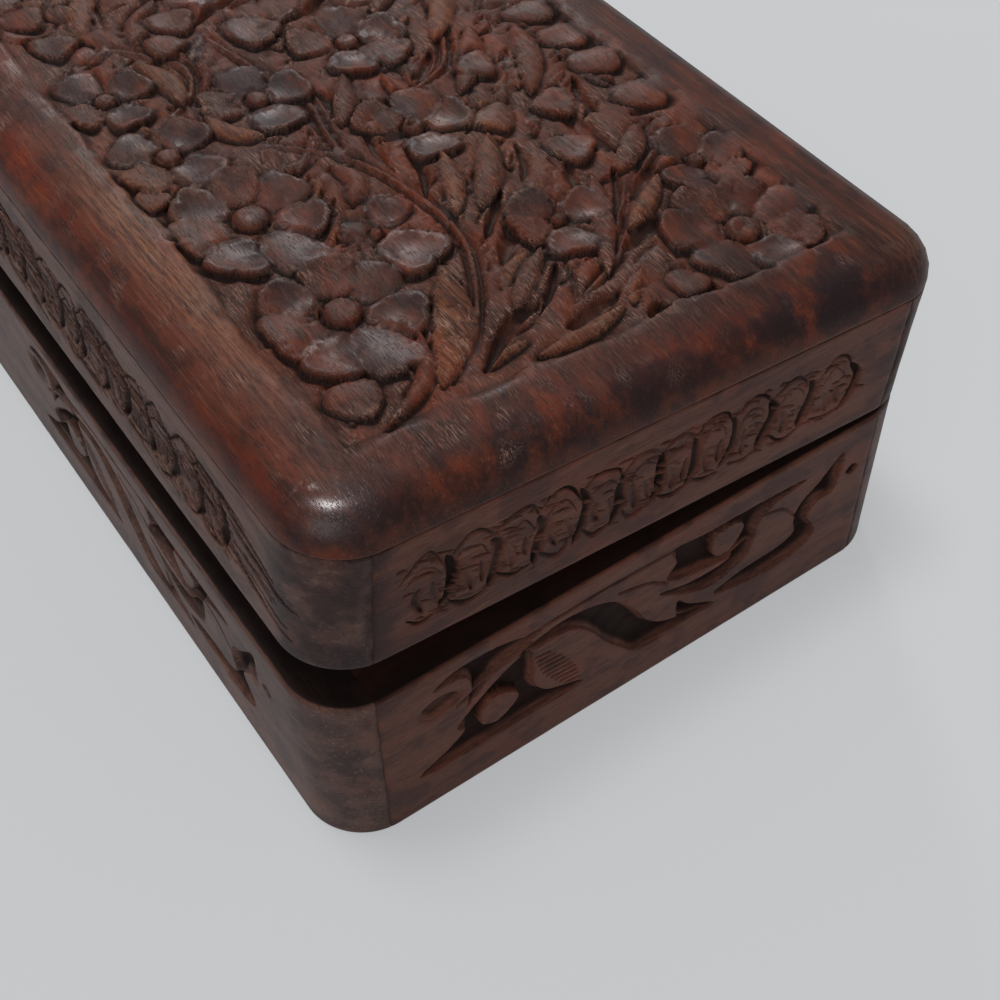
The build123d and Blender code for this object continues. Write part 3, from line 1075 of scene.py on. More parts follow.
@dataclass(frozen=True)
class Wall:
    """One wall of the base or the lid, from its carved outer face to its flat inner one."""

    carcass: Carcass
    side: Side
    height: float
    most_points: int

    # Grid spacing
    STEP = 0.16
    # Rounding at a butt seam: its depth, its width, and how dark it is
    SEAM = 0.05
    SEAM_RUN = 0.5
    SEAM_SHADE = 0.25
    # How dark the painted shade on the inner faces is
    INNER_SHADE = 0.45

    @property
    def is_long(self) -> bool:
        """Whether the wall runs along the box."""
        return self.side in (Side.FRONT, Side.REAR)

    @property
    def straight(self) -> float:
        """Half length of the flat stretch of the outer face."""
        whole = self.carcass.length if self.is_long else self.carcass.depth
        return whole / 2 - self.carcass.corner

    @property
    def swing(self) -> float:
        """Angle of rounded corner that belongs to this wall, in radians."""
        cosine = 1 - self.carcass.wall / self.carcass.corner
        angle = math.acos(cosine)
        return angle if self.is_long else math.pi / 2 - angle

    def blank(self) -> Relief:
        """Uncut relief of the outer face, a little rounded at the butt seams."""
        half = self.straight + self.carcass.corner * self.swing
        relief = Relief((-half, 0.0), (half, self.height), self.STEP)
        run = np.clip((half - np.abs(relief.u)) / self.SEAM_RUN, 0, 1)
        relief.height -= (self.SEAM * (1 - run) ** 2)[:, None]
        relief.shade += (1 - smooth(run))[:, None] * self.SEAM_SHADE
        return relief

    def place(self, along: Field, outward: Field, up: Field) -> Field:
        """Turn the wall's own coordinates into the box's, in millimetres.

        Args:
            along: places along the wall, to the right as one faces it.
            outward: distance out from the outer face.
            up: height.

        Returns:
            Rows of x, y and z.
        """
        reach = (self.carcass.depth if self.is_long else self.carcass.length) / 2
        c, s = (1, 0, -1, 0)[self.side.value], (0, 1, 0, -1)[self.side.value]
        x = along * c + (reach + outward) * s
        y = along * s - (reach + outward) * c
        return np.stack([x, y, up], axis=-1)

    def build(self, name: str, relief: Relief, placement: Matrix) -> bpy.types.Object:
        """Mesh the wall from its carved face and close it.

        Args:
            name: name of the piece.
            relief: carved outer face.
            placement: transform from millimetres to metres at rest.

        Returns:
            Closed piece.
        """
        radius = self.carcass.corner
        bent = np.abs(relief.u) > self.straight
        bend = np.broadcast_to((bent / radius)[:, None], relief.height.shape)
        keep = relief.mesh_points(self.most_points, bend)
        i, j = np.nonzero(keep)
        u, v, height = relief.u[i], relief.v[j], relief.height[keep]
        angle = np.sign(u) * np.clip(np.abs(u) - self.straight, 0, None) / radius
        along = np.clip(u, -self.straight, self.straight) + (radius + height) * np.sin(angle)
        outward = (radius + height) * np.cos(angle) - radius
        faces = facets(np.column_stack([u, v]))
        bottom, top = (np.nonzero(j == edge)[0] for edge in (0, len(relief.v) - 1))
        left, right = (np.nonzero(i == edge)[0] for edge in (0, len(relief.u) - 1))
        bottom, top = bottom[np.argsort(u[bottom])].tolist(), top[np.argsort(u[top])].tolist()
        left, right = left[np.argsort(v[left])].tolist(), right[np.argsort(v[right])].tolist()
        count = len(u)
        if self.is_long:
            flat = [top, bottom[::-1], [*left, *right[::-1]]]
        else:
            half = self.carcass.depth / 2 - self.carcass.wall
            along = np.append(along, [-half, -half, half, half])
            outward = np.append(outward, [-self.carcass.wall] * 4)
            v = np.append(v, [0, self.height, 0, self.height])
            left_low, left_high, right_low, right_high = range(count, count + 4)
            flat = [
                [*top, right_high, left_high],
                [*bottom[::-1], left_low, right_low],
                [left_low, left_high, right_high, right_low],
                [left_low, *left, left_high],
                [right_high, *right[::-1], right_low],
            ]
        marks = relief.marks(keep, len(v) - count)
        # Painted shade on the inner faces
        marks["shade"][count:] = self.INNER_SHADE
        return make_piece(name, self.place(along, outward, v), faces, flat, marks, placement)


def shifted(path: Sequence[Point], along: float) -> tuple[Point, ...]:
    """Path moved along the wall."""
    return tuple((a + along, z) for a, z in path)


@dataclass(frozen=True)
class ScrollWork:
    """Curling scroll cut into a base wall: sunk ground round proud ribbons, a hatched leaf and buds."""

    depth: float = 1.9

    # Outlines of the sunk ground of one repeat, along the wall and up from the underside
    POCKETS = (
        (
            (-34.6, 27.0), (-31, 28.8), (-25, 28.8), (-20, 27.5), (-17, 27.0), (-21, 25.4), (-24.5, 24.0),
            (-27.4, 21.6), (-29.4, 19.4), (-28.6, 23.0), (-29.4, 25.8), (-31.5, 26.9),
        ),
        (
            (-37.4, 8.4), (-32.5, 11.6), (-30.0, 13.8), (-31.2, 15.4), (-27, 19.5), (-22.5, 22.6),
            (-19.2, 23.4), (-18.5, 19.2), (-18.6, 15.4), (-16.2, 11.6), (-10, 8.2), (-24, 7.9),
        ),
        (
            (-21, 24.0), (-17, 25.4), (-13, 25.9), (-8, 25.0), (-4, 22.5), (-1, 18.4), (1.6, 13.8),
            (5, 11.0), (10, 9.4), (14.4, 8.2), (6, 7.8), (0, 8.0), (-3, 11.0), (-6, 15.0), (-8.4, 19.0),
            (-11, 22.0), (-14, 23.4), (-18, 23.3),
        ),
        (
            (5.4, 27.3), (12, 26.7), (20, 26.5), (30, 25.8), (24.4, 24.4), (21.5, 22.0), (20.8, 18.4),
            (17, 17.6), (12.6, 18.3), (8, 19.2), (4.6, 21.2), (6.2, 24.0),
        ),
        (
            (3.4, 18.6), (9, 17.1), (15, 16.9), (20.4, 18.8), (20.0, 15.8), (17, 14.0), (13.2, 13.2),
            (8.6, 15.0),
        ),
        (
            (14.4, 10.6), (20, 12.2), (26, 12.5), (29.4, 14.0), (29.0, 17.5), (30, 20.5), (33, 23.0),
            (37, 27.0), (37.2, 24.0), (36.4, 19.2), (33.4, 18.6), (31.8, 16.0), (33.8, 12.0), (32, 9.0),
            (26, 8.0), (19, 8.8),
        ),
        ((7.3, 14.0), (9.5, 11.6), (14.4, 8.2), (9.6, 8.6), (7.4, 10.4)),
        ((38.6, 21.6), (39.6, 22.8), (40.8, 21.8), (39.8, 20.6)),
    )
    SHALLOWS = (((-37.2, 23.5), (-34.5, 25.2), (-31.2, 24.7), (-30.2, 23.1), (-32, 21.6), (-35.4, 20.9)),)
    # Round buds left standing: middle, length, width, turn
    BUDS = ((-24.5, 14.0, 6.6, 6.2, 60.0), (15.6, 22.0, 6.4, 5.8, 80.0))
    VEINS = (
        ((-20, 27.3), (-8, 27.6), (5, 27.2)),
        ((-4, 24.6), (1, 23.0), (4.6, 20.4)),
        ((-31, 20.6), (-25, 23.6), (-19, 25.4)),
        ((22.6, 23.0), (26.0, 21.8), (28.8, 18.6)),
    )
    # Knife hatching on the leaf: its foot and head, the length of a cut and how many there are
    HATCH = ((-11.8, 10.4), (-17.0, 20.8), 4.2, 10)
    # Least and further share of that length from foot to head, and how far a cut slants
    HATCH_SWELL = (0.55, 0.45)
    HATCH_SLANT = 0.2
    HATCH_WIDTH = 0.55
    VEIN_WIDTH = 0.7
    # Heights at the bottom or crown and at the outline, and the depth of the groove round it
    SHALLOW = (-0.7, -0.1, 0.1)
    BUD = (-0.05, -0.9, 0.0)
    CUT = (-0.34, -0.05, 0.0)
    # Share of the depth at a pocket's outline, and how dark the painted shade on its bottom is
    EDGE_SHARE = 0.35
    BOTTOM_SHADE = 0.62

    def carve(self, relief: Relief, centres: Sequence[float]) -> None:
        """Carve a repeat round each centre.

        Args:
            relief: face that is carved.
            centres: places of the repeats along the wall.
        """
        foot, head, length, count = self.HATCH
        for centre in centres:
            for path in self.POCKETS:
                Pocket(-self.depth, -self.EDGE_SHARE * self.depth, 0.0, shifted(path, centre)).carve(relief)
            for path in self.SHALLOWS:
                Pocket(*self.SHALLOW, shifted(path, centre)).carve(relief)
            for a, z, long, wide, turn in self.BUDS:
                Petal(*self.BUD, (a + centre, z), long, wide, turn, tilt=0.1, keel=0.1).carve(relief)
            for path in self.VEINS:
                Sweep(*self.CUT, shifted(path, centre), self.VEIN_WIDTH, tapered=False).carve(relief)
            for k in range(count):
                share = k / (count - 1)
                a, z = (foot[i] + (head[i] - foot[i]) * share for i in (0, 1))
                swell = length * (self.HATCH_SWELL[0] + self.HATCH_SWELL[1] * math.sin(math.pi * share))
                stroke = ((a - swell / 2, z + self.HATCH_SLANT), (a + swell / 2, z - self.HATCH_SLANT))
                Sweep(*self.CUT, shifted(stroke, centre), self.HATCH_WIDTH, tapered=False).carve(relief)
        self.finish(relief)

    def finish(self, relief: Relief) -> None:
        """Leave tool chatter in the cuts, paint shade on their bottoms, and shade the face's hollows and wear
        its edges.

        Args:
            relief: face that is carved.
        """
        cut = np.clip(-relief.height / self.depth, 0, 1)
        relief.roughen(0.01 + 0.07 * cut, long=1.8, wide=0.5, turn=25.0, seed=11)
        relief.height = np.minimum(relief.height, 0.0)
        # Painted shade on the bottoms of the cuts
        relief.shade = np.maximum(relief.shade, self.BOTTOM_SHADE * cut**Shape.SHADE_POWER)
        relief.age(crevice=0.6, wear=1.0)


@dataclass(frozen=True)
class ScaleChain:
    """Row of overlapping leaf scales cut into a lid wall with curved knife strokes."""

    pitch: float = 6.9

    # Places of the scales on a short wall, from its front end
    SHORT_PLACES = (-33.4, -26.4, -19.8, -13.4, -6.6, -0.4, 5.6, 11.6, 18.2, 25.4, 33.0)
    LONG_HALF = 86.0
    # Cuts of one scale round its own place, up from the lid's rim: path, width and depth
    CUTS = (
        (((-3.6, 10.6), (-3.4, 8.2), (-2.6, 6.0)), 1.9, 0.42),
        (((-1.2, 10.4), (-0.9, 8.2), (-0.8, 6.6)), 1.3, 0.42),
        (((-5.0, 12.2), (-3.2, 13.8), (-1.2, 13.4), (-0.2, 11.4)), 0.4, 0.3),
        (((0.4, 13.8), (1.5, 11.0), (1.2, 7.6), (-0.2, 5.0)), 2.3, 1.0),
        (((-6.0, 13.6), (-3.4, 15.8), (-0.8, 15.2), (0.8, 12.6)), 0.75, 0.5),
        (((-5.6, 6.0), (-3.0, 4.3), (-0.2, 5.2)), 0.9, 0.55),
    )
    # Depth at the edge of such a cut, the spread of its points, and what its width and depth vary by
    EDGE_DEPTH = 0.08
    POINT_SPREAD = (0.35, 0.4)
    WIDTH_SHARES = (0.7, 1.15)
    DEPTH_SHARES = (0.65, 1.1)
    # Fine cuts strewn over each scale and, on a long wall, along the whole face
    HATCHES = 18
    HATCH_RUN = (1.2, 4.0)
    HATCH_REACH = (6.5, 0.5)
    FEATHERS = 300
    FEATHER_RUN = (6.0, 13.0)
    # Their level, sag, depth and width, and how far they start above their level and end below it
    FINE_LEVEL = (4.4, 16.0)
    FINE_SAG = (0.1, 0.5)
    FINE_DEPTH = (0.14, 0.46)
    FINE_WIDTH = (0.3, 0.65)
    FINE_EDGE = 0.03
    FINE_FALL = (0.12, 0.1)
    # A long cut is wider and, over this length, deeper
    WIDENING = 0.02
    LONG_CUT = 5.0
    LONG_DEEPER = 1.5
    # Painted shade in the cuts of a long wall: how dark it is, and the depth from which it is full
    CUT_SHADE = 0.8
    SHADED = 0.45

    def strew(
        self, relief: Relief, rng: np.random.Generator, place: float, count: int, reach: Point, run: Point
    ) -> None:
        """Strew fine slanting cuts.

        Args:
            relief: face that is carved.
            rng: source of the random draws.
            place: middle of the strewn stretch.
            count: number of cuts.
            reach: half length of the stretch before and after the middle.
            run: shortest and longest cut.
        """
        rise, fall = self.FINE_FALL
        for _ in range(count):
            a, z = place + rng.uniform(-reach[0], reach[1]), rng.uniform(*self.FINE_LEVEL)
            length = rng.uniform(*run)
            sag = rng.uniform(*self.FINE_SAG)
            stroke = ((a, z + rise * length), (a + length / 2, z + sag / 2), (a + length, z - fall * length))
            deep = rng.uniform(*self.FINE_DEPTH) * (self.LONG_DEEPER if length > self.LONG_CUT else 1.0)
            wide = rng.uniform(*self.FINE_WIDTH) + self.WIDENING * length
            Sweep(-deep, -self.FINE_EDGE, 0.0, stroke, wide).carve(relief)

    def carve(self, relief: Relief, long: bool) -> None:
        """Carve the chain over a wall.

        Args:
            relief: face that is carved.
            long: whether it is a long wall's.
        """
        rng = np.random.default_rng(5)
        places = list(self.SHORT_PLACES)
        if long:
            count = int(2 * self.LONG_HALF // self.pitch)
            places = [(k - (count - 1) / 2) * self.pitch + rng.uniform(-0.5, 0.5) for k in range(count)]
            reach = (self.LONG_HALF + 4, self.LONG_HALF)
            self.strew(relief, rng, 0.0, self.FEATHERS, reach, self.FEATHER_RUN)
        along, up = self.POINT_SPREAD
        for place in places:
            self.strew(relief, rng, place, self.HATCHES, self.HATCH_REACH, self.HATCH_RUN)
            for path, wide, depth in self.CUTS:
                drawn = tuple((a + place + rng.normal(0, along), z + rng.normal(0, up)) for a, z in path)
                wide, depth = wide * rng.uniform(*self.WIDTH_SHARES), depth * rng.uniform(*self.DEPTH_SHARES)
                Sweep(-depth, -self.EDGE_DEPTH, 0.0, drawn, wide).carve(relief)
        relief.roughen(0.02, long=2.4, wide=0.5, turn=10.0, seed=22)
        relief.height = np.minimum(relief.height, 0.0)
        if long:
            # Painted shade in the cuts of a long wall, darker with depth
            depths = np.clip(-relief.height / self.SHADED, 0, 1)
            relief.shade = np.maximum(relief.shade, self.CUT_SHADE * depths)
        relief.age(crevice=0.45, wear=0.4)


@dataclass(frozen=True)
class FlowerField:
    """Carved field of the lid board, crowded with flowers, buds, leaf blades and stems.

    The right half is carved as the photographed one is; the left half repeats it after a half turn.
    """

    half_length: float = 90.8
    half_depth: float = 39.8
    ground: float = 0.75
    # How far the ground is cut down beside blades, buds and flowers, and how scuffed it is
    floors: tuple[float, float, float] = (-1.4, -1.6, -1.7)
    scuff: float = 0.5

    # Width of the step at the field's edge, how far it wavers, and how dark the painted shade at its foot is
    EDGE_RUN = 0.8
    WAVER = 0.4
    EDGE_SHADE = 0.55
    # Heights at the crown and at the outline, and the depth of the groove round it
    SLIVER = (-0.25, -0.8, 0.15)
    STEM_BED = (-1.9, -0.9, 0.0)
    STEM = (-0.7, -1.1, 0.0)
    GOUGE = (-2.1, -0.9, 0.0)
    BLADE = (-0.15, -0.7, 0.2)
    BUD = (-0.08, -0.45, 0.3)
    STEM_WIDTHS = (3.4, 1.0)
    # Slivers of leaf and short knife cuts strewn between the drawn shapes, each with its shortest
    # and longest run and width
    SLIVERS = 80
    SLIVER_RUN = (5.0, 10.0)
    SLIVER_WIDTH = (1.6, 2.6)
    CHIPS = 280
    CHIP_RUN = (1.6, 6.0)
    CHIP_WIDTH = (0.5, 1.3)
    CHIP_DEPTH = (0.15, 0.75)
    # How far they keep from the field's edge, their direction with its spread, and their bow
    INSET = 4
    FLOW = (-48.0, 24.0)
    BOW = 0.16
    # Nicks over all of it, with painted shade in them
    NICKS = 180
    NICK_RUN = (1.2, 4.5)
    NICK_WIDTH = (0.3, 0.7)
    NICK_DEPTH = (0.12, 0.34)
    NICK_SHADE = 0.35
    # Scratches across the borders: how far they reach along the front and the right border, the
    # middle and spread of each border, their direction's spread, half length, width and depth
    SCRATCHES = 360
    SCRATCH_REACH = (97, 44)
    FRONT_BORDER = (-44.5, 2.4)
    RIGHT_BORDER = (96.0, 2.0)
    SCRATCH_TURN = 14.0
    SCRATCH_HALF = (0.5, 2.2)
    SCRATCH_WIDTH = 0.36
    SCRATCH_DEPTH = 0.09
    SCRATCH_WEAR = (0.3, 1.0)

    # Each flower: its middle, the radius of its ring, and its petals' places, lengths and widths
    FLOWERS = (
        Flower(
            (57.5, -15.0),
            1.0,
            ((62.6, -12.9, 9, 7.4), (56.6, -16.6, 5, 5), (59.5, -19.4, 5, 4.6), (54.1, -11.2, 5.6, 5)),
        ),
        Flower(
            (68.8, -27.0),
            2.7,
            (
                (72.8, -21.4, 7.6, 6.4), (65.6, -20.8, 7, 5.6), (61.8, -25.0, 8, 6), (63.4, -31.8, 7, 6.2),
                (69.4, -33.8, 7.4, 7.6), (75.8, -32.2, 8, 6.4), (77.2, -26.3, 10, 6.6),
            ),
        ),
        Flower(
            (46.0, -27.5),
            2.7,
            (
                (49.6, -21.6, 7, 6), (42.8, -21.6, 7, 6), (39.0, -26.2, 7.4, 6), (40.8, -32.2, 7.4, 6.2),
                (46.4, -34.6, 7.6, 7), (52.6, -32.8, 8, 6.8), (54.4, -26.1, 9.4, 6.4),
            ),
        ),
        Flower(
            (28.0, -30.6),
            1.9,
            (
                (25.0, -26.6, 6.4, 5.6), (24.6, -33.6, 6.8, 6), (31.0, -35.0, 6.4, 6),
                (32.4, -28.6, 7.6, 6.4),
            ),
        ),
        Flower(
            (21.6, -13.0),
            1.9,
            ((21.3, -8.4, 6.6, 6), (16.6, -12.8, 6.8, 6), (20.8, -17.8, 6.8, 6), (27.0, -12.9, 7, 6.6)),
        ),
        Flower(
            (11.0, -32.0),
            1.7,
            (
                (9.6, -27.8, 5.6, 5.2), (6.6, -33.6, 6.4, 5.4), (13.0, -36.2, 6, 5.6),
                (15.8, -31.0, 6.6, 5.4),
            ),
        ),
        Flower(
            (82.1, 28.4),
            2.6,
            (
                (76.8, 33.0, 7.4, 6), (80.9, 36.0, 8.2, 6), (86.2, 34.2, 7.4, 5.8), (87.8, 28.8, 6.6, 6),
                (75.0, 27.4, 7.6, 6.2), (78.8, 21.8, 8, 6.8), (85.4, 22.6, 8, 6.4),
            ),
        ),
        Flower(
            (66.4, 33.0),
            1.4,
            ((66.4, 37.2, 5.6, 6), (61.8, 33.4, 6.4, 5.8), (70.6, 35.2, 6, 5.6), (68.8, 29.4, 6.2, 5.6)),
        ),
        Flower(
            (67.4, 8.0),
            1.2,
            ((67.0, 12.4, 6, 5.6), (63.2, 6.3, 6, 5.8), (67.4, 3.8, 5.6, 5.4), (72.0, 6.6, 6.2, 5.8)),
        ),
        Flower(
            (38.8, 3.0),
            1.8,
            ((39.0, 8.2, 6.8, 6), (34.4, 6.0, 6.8, 6), (34.8, -0.4, 6.8, 6), (43.8, 2.7, 6.8, 6.2)),
        ),
        Flower(
            (14.6, 6.4),
            1.9,
            (
                (14.4, 12.2, 7, 6), (9.4, 8.6, 7, 6), (12.4, 1.4, 7, 6), (19.8, 4.2, 7, 6),
                (19.6, 10.4, 7, 6),
            ),
        ),
    )
    # Single buds and petals: place, length, width, turn, depth of knife creases
    BUDS = (
        (83.2, -34.2, 7.4, 6.6, 60.0, 0.16), (87.2, 14.2, 6.2, 5.2, 20.0, 0.1),
        (54.8, 19.0, 7.6, 6.2, 40.0, 0.0), (44.4, 24.5, 8.0, 6.4, -50.0, 0.0),
        (43.0, 14.5, 7.4, 5.8, -50.0, 0.1), (49.0, 36.4, 8.8, 7.0, 70.0, 0.12),
        (38.2, 36.0, 8.6, 6.6, 70.0, 0.1), (30.0, 36.2, 8.6, 6.4, 70.0, 0.0),
        (21.6, 35.4, 8.4, 6.0, 75.0, 0.1), (4.7, -5.1, 9.4, 7.6, 30.0, 0.0),
        (-3.7, -14.6, 7.8, 6.6, 60.0, 0.0), (1.9, -18.4, 6.8, 5.6, 20.0, 0.1),
        (-5.9, -32.9, 7.4, 6.2, 40.0, 0.0), (-15.3, -34.0, 7.6, 6.2, 70.0, 0.12),
        (30.0, 20.0, 7.4, 5.8, -40.0, 0.0), (12.0, 34.0, 8.4, 6.2, 75.0, 0.0),
        (36.0, -37.0, 5.4, 4.6, 20.0, 0.0), (2.0, 31.0, 8.0, 6.0, 60.0, 0.1),
    )
    # Leaf blades left standing: path, width, vein
    BLADES = (
        (((68.9, -11.7), (78.0, -16.2), (87.4, -24.0)), 5.4, 0.25),
        (((77.4, -21.0), (85.0, -25.2), (89.8, -33.4)), 2.6, 0.0),
        (((55.6, 31.0), (59.4, 27.0), (63.4, 21.4)), 4.0, 0.25),
        (((67.0, 25.6), (71.0, 20.4), (74.4, 14.6)), 3.2, 0.2),
        (((62.0, 17.6), (70.0, 13.4), (80.6, 6.4)), 3.4, 0.2),
        (((46.6, 10.6), (54.0, 5.8), (60.4, 0.0)), 4.2, 0.25),
        (((47.0, 2.4), (53.6, 0.2), (60.0, -3.8)), 3.2, 0.2),
        (((24.0, 31.0), (32.0, 28.4), (41.0, 22.4)), 4.4, 0.25),
        (((21.0, 24.6), (28.0, 20.6), (35.6, 13.4)), 4.2, 0.25),
        (((5.0, 28.4), (13.0, 25.0), (21.4, 18.0)), 4.4, 0.25),
        (((-2.0, 22.6), (4.6, 19.4), (10.0, 14.0)), 4.0, 0.25),
        (((5.0, -24.4), (11.3, -22.3), (18.0, -23.0)), 4.0, 0.25),
        (((22.4, -22.0), (27.4, -20.6), (31.0, -17.0)), 3.4, 0.2),
        (((23.0, 0.6), (28.6, -2.4), (34.0, -6.2)), 3.6, 0.2),
        (((72.0, 1.6), (76.0, -3.4), (80.0, -8.0)), 3.0, 0.2),
        (((87.0, 4.0), (88.4, -3.0), (89.0, -11.0)), 2.6, 0.2),
        (((42.0, -12.6), (46.4, -11.4), (51.0, -14.6)), 3.6, 0.2),
    )
    # Deep pointed gouge cuts: path and width
    GOUGES = (
        (((80.2, -2.2), (82.2, -10.4), (87.8, -18.4)), 2.4),
        (((84.0, 5.6), (85.4, 0.6), (86.6, -5.0)), 3.0),
        (((64.0, 27.0), (66.6, 23.0), (69.4, 19.0)), 2.6),
        (((74.4, 22.0), (75.6, 17.0), (77.6, 11.0)), 3.0),
        (((64.4, 3.0), (67.6, -0.4), (72.0, -4.6)), 3.0), (((88.8, 8.8), (90.4, 7.0), (91.6, 5.0)), 3.2),
        (((46.0, 24.0), (51.0, 23.4), (60.0, 24.4)), 3.4),
        (((57.0, 17.4), (60.6, 15.2), (65.0, 14.0)), 2.4),
        (((51.6, 38.0), (52.6, 35.6), (53.4, 31.4)), 3.0),
        (((40.0, 2.0), (39.6, -1.0), (40.2, -3.6)), 2.6), (((30.0, 6.4), (32.0, 3.0), (31.0, 1.0)), 2.2),
        (((33.4, -2.4), (40.0, -4.8), (47.0, -5.4)), 1.8),
        (((42.0, -1.0), (49.0, -2.2), (54.4, -5.0)), 1.6),
        (((50.0, 13.0), (54.6, 11.4), (58.0, 8.6)), 1.8), (((58.0, 5.0), (62.0, 1.0), (66.0, -3.2)), 1.8),
        (((40.4, 30.6), (45.0, 28.4), (50.4, 27.6)), 2.0),
        (((62.0, 21.4), (67.0, 18.4), (71.0, 14.8)), 1.6),
        (((23.4, 16.0), (27.0, 12.6), (29.6, 8.6)), 2.2),
        (((8.6, -20.4), (6.2, -21.6), (4.6, -20.4)), 2.6),
        (((24.0, -4.4), (27.0, -4.4), (30.6, -5.4)), 2.4),
        (((75.0, 2.0), (78.6, -1.4), (82.4, -6.0)), 1.5),
        (((90.8, 35.0), (91.8, 31.0), (91.0, 26.0)), 1.8),
        (((88.6, 17.4), (91.6, 15.6), (92.2, 11.6)), 1.4), (((0.0, 12.0), (4.0, 6.0), (5.6, 0.0)), 2.4),
    )
    STEMS = (
        (
            (31.0, -20.6), (34.6, -15.6), (39.6, -10.4), (46.0, -7.4), (54.0, -5.7), (63.0, -5.5),
            (71.0, -8.4), (80.0, -14.2), (87.6, -21.0),
        ),
        ((40.6, -9.6), (34.0, -8.8), (24.0, -7.0), (12.0, -10.0), (2.0, -12.0)),
        ((31.4, 8.0), (27.0, 16.0), (16.0, 22.0), (6.0, 24.6)),
        ((57.6, 37.6), (62.6, 27.6), (69.0, 20.0), (77.6, 10.6), (83.0, 0.0)),
        ((-2.0, -27.0), (8.0, -18.6), (16.0, -21.0), (20.0, -26.4)),
    )
    # Colour patches on and beside the field: tint, place, spreads and strength
    PATCHES = (
        ("ochre", 40.0, -42.6, 16.0, 3.0, 0.8), ("ochre", 98.0, 47.0, 4.0, 5.0, 0.9),
        ("ochre", 30.0, -35.0, 12.0, 4.0, 0.5), ("ochre", 11.0, -22.0, 7.0, 4.0, 0.7),
        ("ochre", 64.0, -42.4, 22.0, 2.6, 0.7), ("ochre", 46.0, 11.0, 8.0, 5.0, 0.5),
        ("red", 60.0, -49.0, 44.0, 3.2, 0.8), ("red", 88.0, -48.0, 9.0, 3.0, 0.6),
        ("red", 10.0, -49.0, 40.0, 3.2, 0.7), ("red", 97.0, 6.0, 2.0, 26.0, 0.5),
        ("dark", 100.5, -14.0, 7.0, 32.0, 1.0), ("dark", 99.5, 30.0, 6.6, 16.0, 1.0),
        ("dark", 98.5, -46.0, 4.0, 5.0, 0.7), ("dark", 40.0, 49.0, 60.0, 4.0, 0.8),
        ("dark", 60.0, -54.0, 70.0, 3.4, 0.9), ("dark", 86.0, -42.0, 10.0, 2.4, 0.5),
        ("worn", 55.0, -42.5, 22.0, 2.6, 0.3), ("worn", 94.0, -31.0, 1.6, 10.0, 0.5),
        ("worn", 91.5, -40.5, 1.4, 2.6, 0.8), ("worn", 93.0, -4.0, 2.0, 12.0, 0.3),
        ("polish", 97.4, -44.6, 3.4, 3.8, 1.0), ("worn", 97.4, -44.6, 3.0, 3.4, 0.4),
        ("dark", 18.0, -20.0, 18.0, 18.0, 0.4), ("polish", 98.0, -20.0, 4.0, 30.0, 0.12),
        ("polish", 60.0, -50.0, 50.0, 3.4, 0.08), ("worn", 72.0, -48.0, 2.0, 2.0, 0.6),
        ("worn", 60.0, -46.6, 1.6, 1.6, 0.5),
    )

    def strew(self, relief: Relief) -> None:
        """Strew slivers of leaf and short knife cuts over the ground of the right half.

        Args:
            relief: face that is carved.
        """
        rng = np.random.default_rng(8)
        for k in range(self.CHIPS + self.SLIVERS):
            sliver = k < self.SLIVERS
            path = self.stroke(rng, self.SLIVER_RUN if sliver else self.CHIP_RUN)
            if sliver:
                wide, tint = rng.uniform(*self.SLIVER_WIDTH), ("", "dark", "ochre", "red")[k % 4]
                blade = Sweep(*self.SLIVER, path, wide, rib=0.2, tint=tint, scuff=0.3)
                blade.undercut(relief, self.floors[0])
                blade.carve(relief)
            else:
                deep = self.ground + rng.uniform(*self.CHIP_DEPTH)
                Sweep(-deep, -self.ground, 0.0, path, rng.uniform(*self.CHIP_WIDTH)).carve(relief)

    def stroke(self, rng: np.random.Generator, run: Point) -> tuple[Point, ...]:
        """Draw a short bowed stroke at a random place of the right half.

        Args:
            rng: source of the random draws.
            run: shortest and longest stroke.

        Returns:
            Its start, middle and end.
        """
        right, up = self.half_length - self.INSET, self.half_depth - self.INSET
        x, y = rng.uniform(0, right), rng.uniform(-up, up)
        turn = math.radians(rng.normal(*self.FLOW))
        length, bow = rng.uniform(*run), rng.uniform(-self.BOW, self.BOW)
        du, dv = math.cos(turn) * length / 2, math.sin(turn) * length / 2
        return (x - du, y - dv), (x - bow * dv, y + bow * du), (x + du, y + dv)

    def nick(self, relief: Relief) -> None:
        """Nick whatever stands in the right half with slips of the knife, and paint shade in the nicks.

        Args:
            relief: face that is carved.
        """
        rng = np.random.default_rng(9)
        for _ in range(self.NICKS):
            path = self.stroke(rng, self.NICK_RUN)
            wide, deep = rng.uniform(*self.NICK_WIDTH), rng.uniform(*self.NICK_DEPTH)
            slip = Sweep(0.0, 0.0, 0.0, path, wide)
            part, u, v = slip.area(relief)
            inside, crown, _ = slip.measure(u, v)
            relief.height[part] -= deep * crown * (inside > 0)
            # Painted shade in the nick
            relief.shade[part] = np.maximum(relief.shade[part], self.NICK_SHADE * crown * (inside > 0))

    def scratch(self, relief: Relief) -> None:
        """Scratch the front and right borders across with fine light lines.

        Args:
            relief: face that is carved.
        """
        rng = np.random.default_rng(10)
        right, up = self.SCRATCH_REACH
        for k in range(self.SCRATCHES):
            if k % 2 == 0:
                across = 90.0
                x, y = rng.uniform(0, right), rng.normal(*self.FRONT_BORDER)
            else:
                across = 0.0
                x, y = rng.normal(*self.RIGHT_BORDER), rng.uniform(-up, up)
            turn = math.radians(rng.normal(across, self.SCRATCH_TURN))
            du, dv = (rng.uniform(*self.SCRATCH_HALF) * f(turn) for f in (math.cos, math.sin))
            line = Sweep(0.0, 0.0, 0.0, ((x - du, y - dv), (x + du, y + dv)), self.SCRATCH_WIDTH)
            part, u, v = line.area(relief)
            if min(u.shape) > 1:
                crown = line.measure(u, v)[1]
                relief.height[part] -= self.SCRATCH_DEPTH * crown
                worn = rng.uniform(*self.SCRATCH_WEAR) * crown
                relief.worn[part] = np.maximum(relief.worn[part], worn)

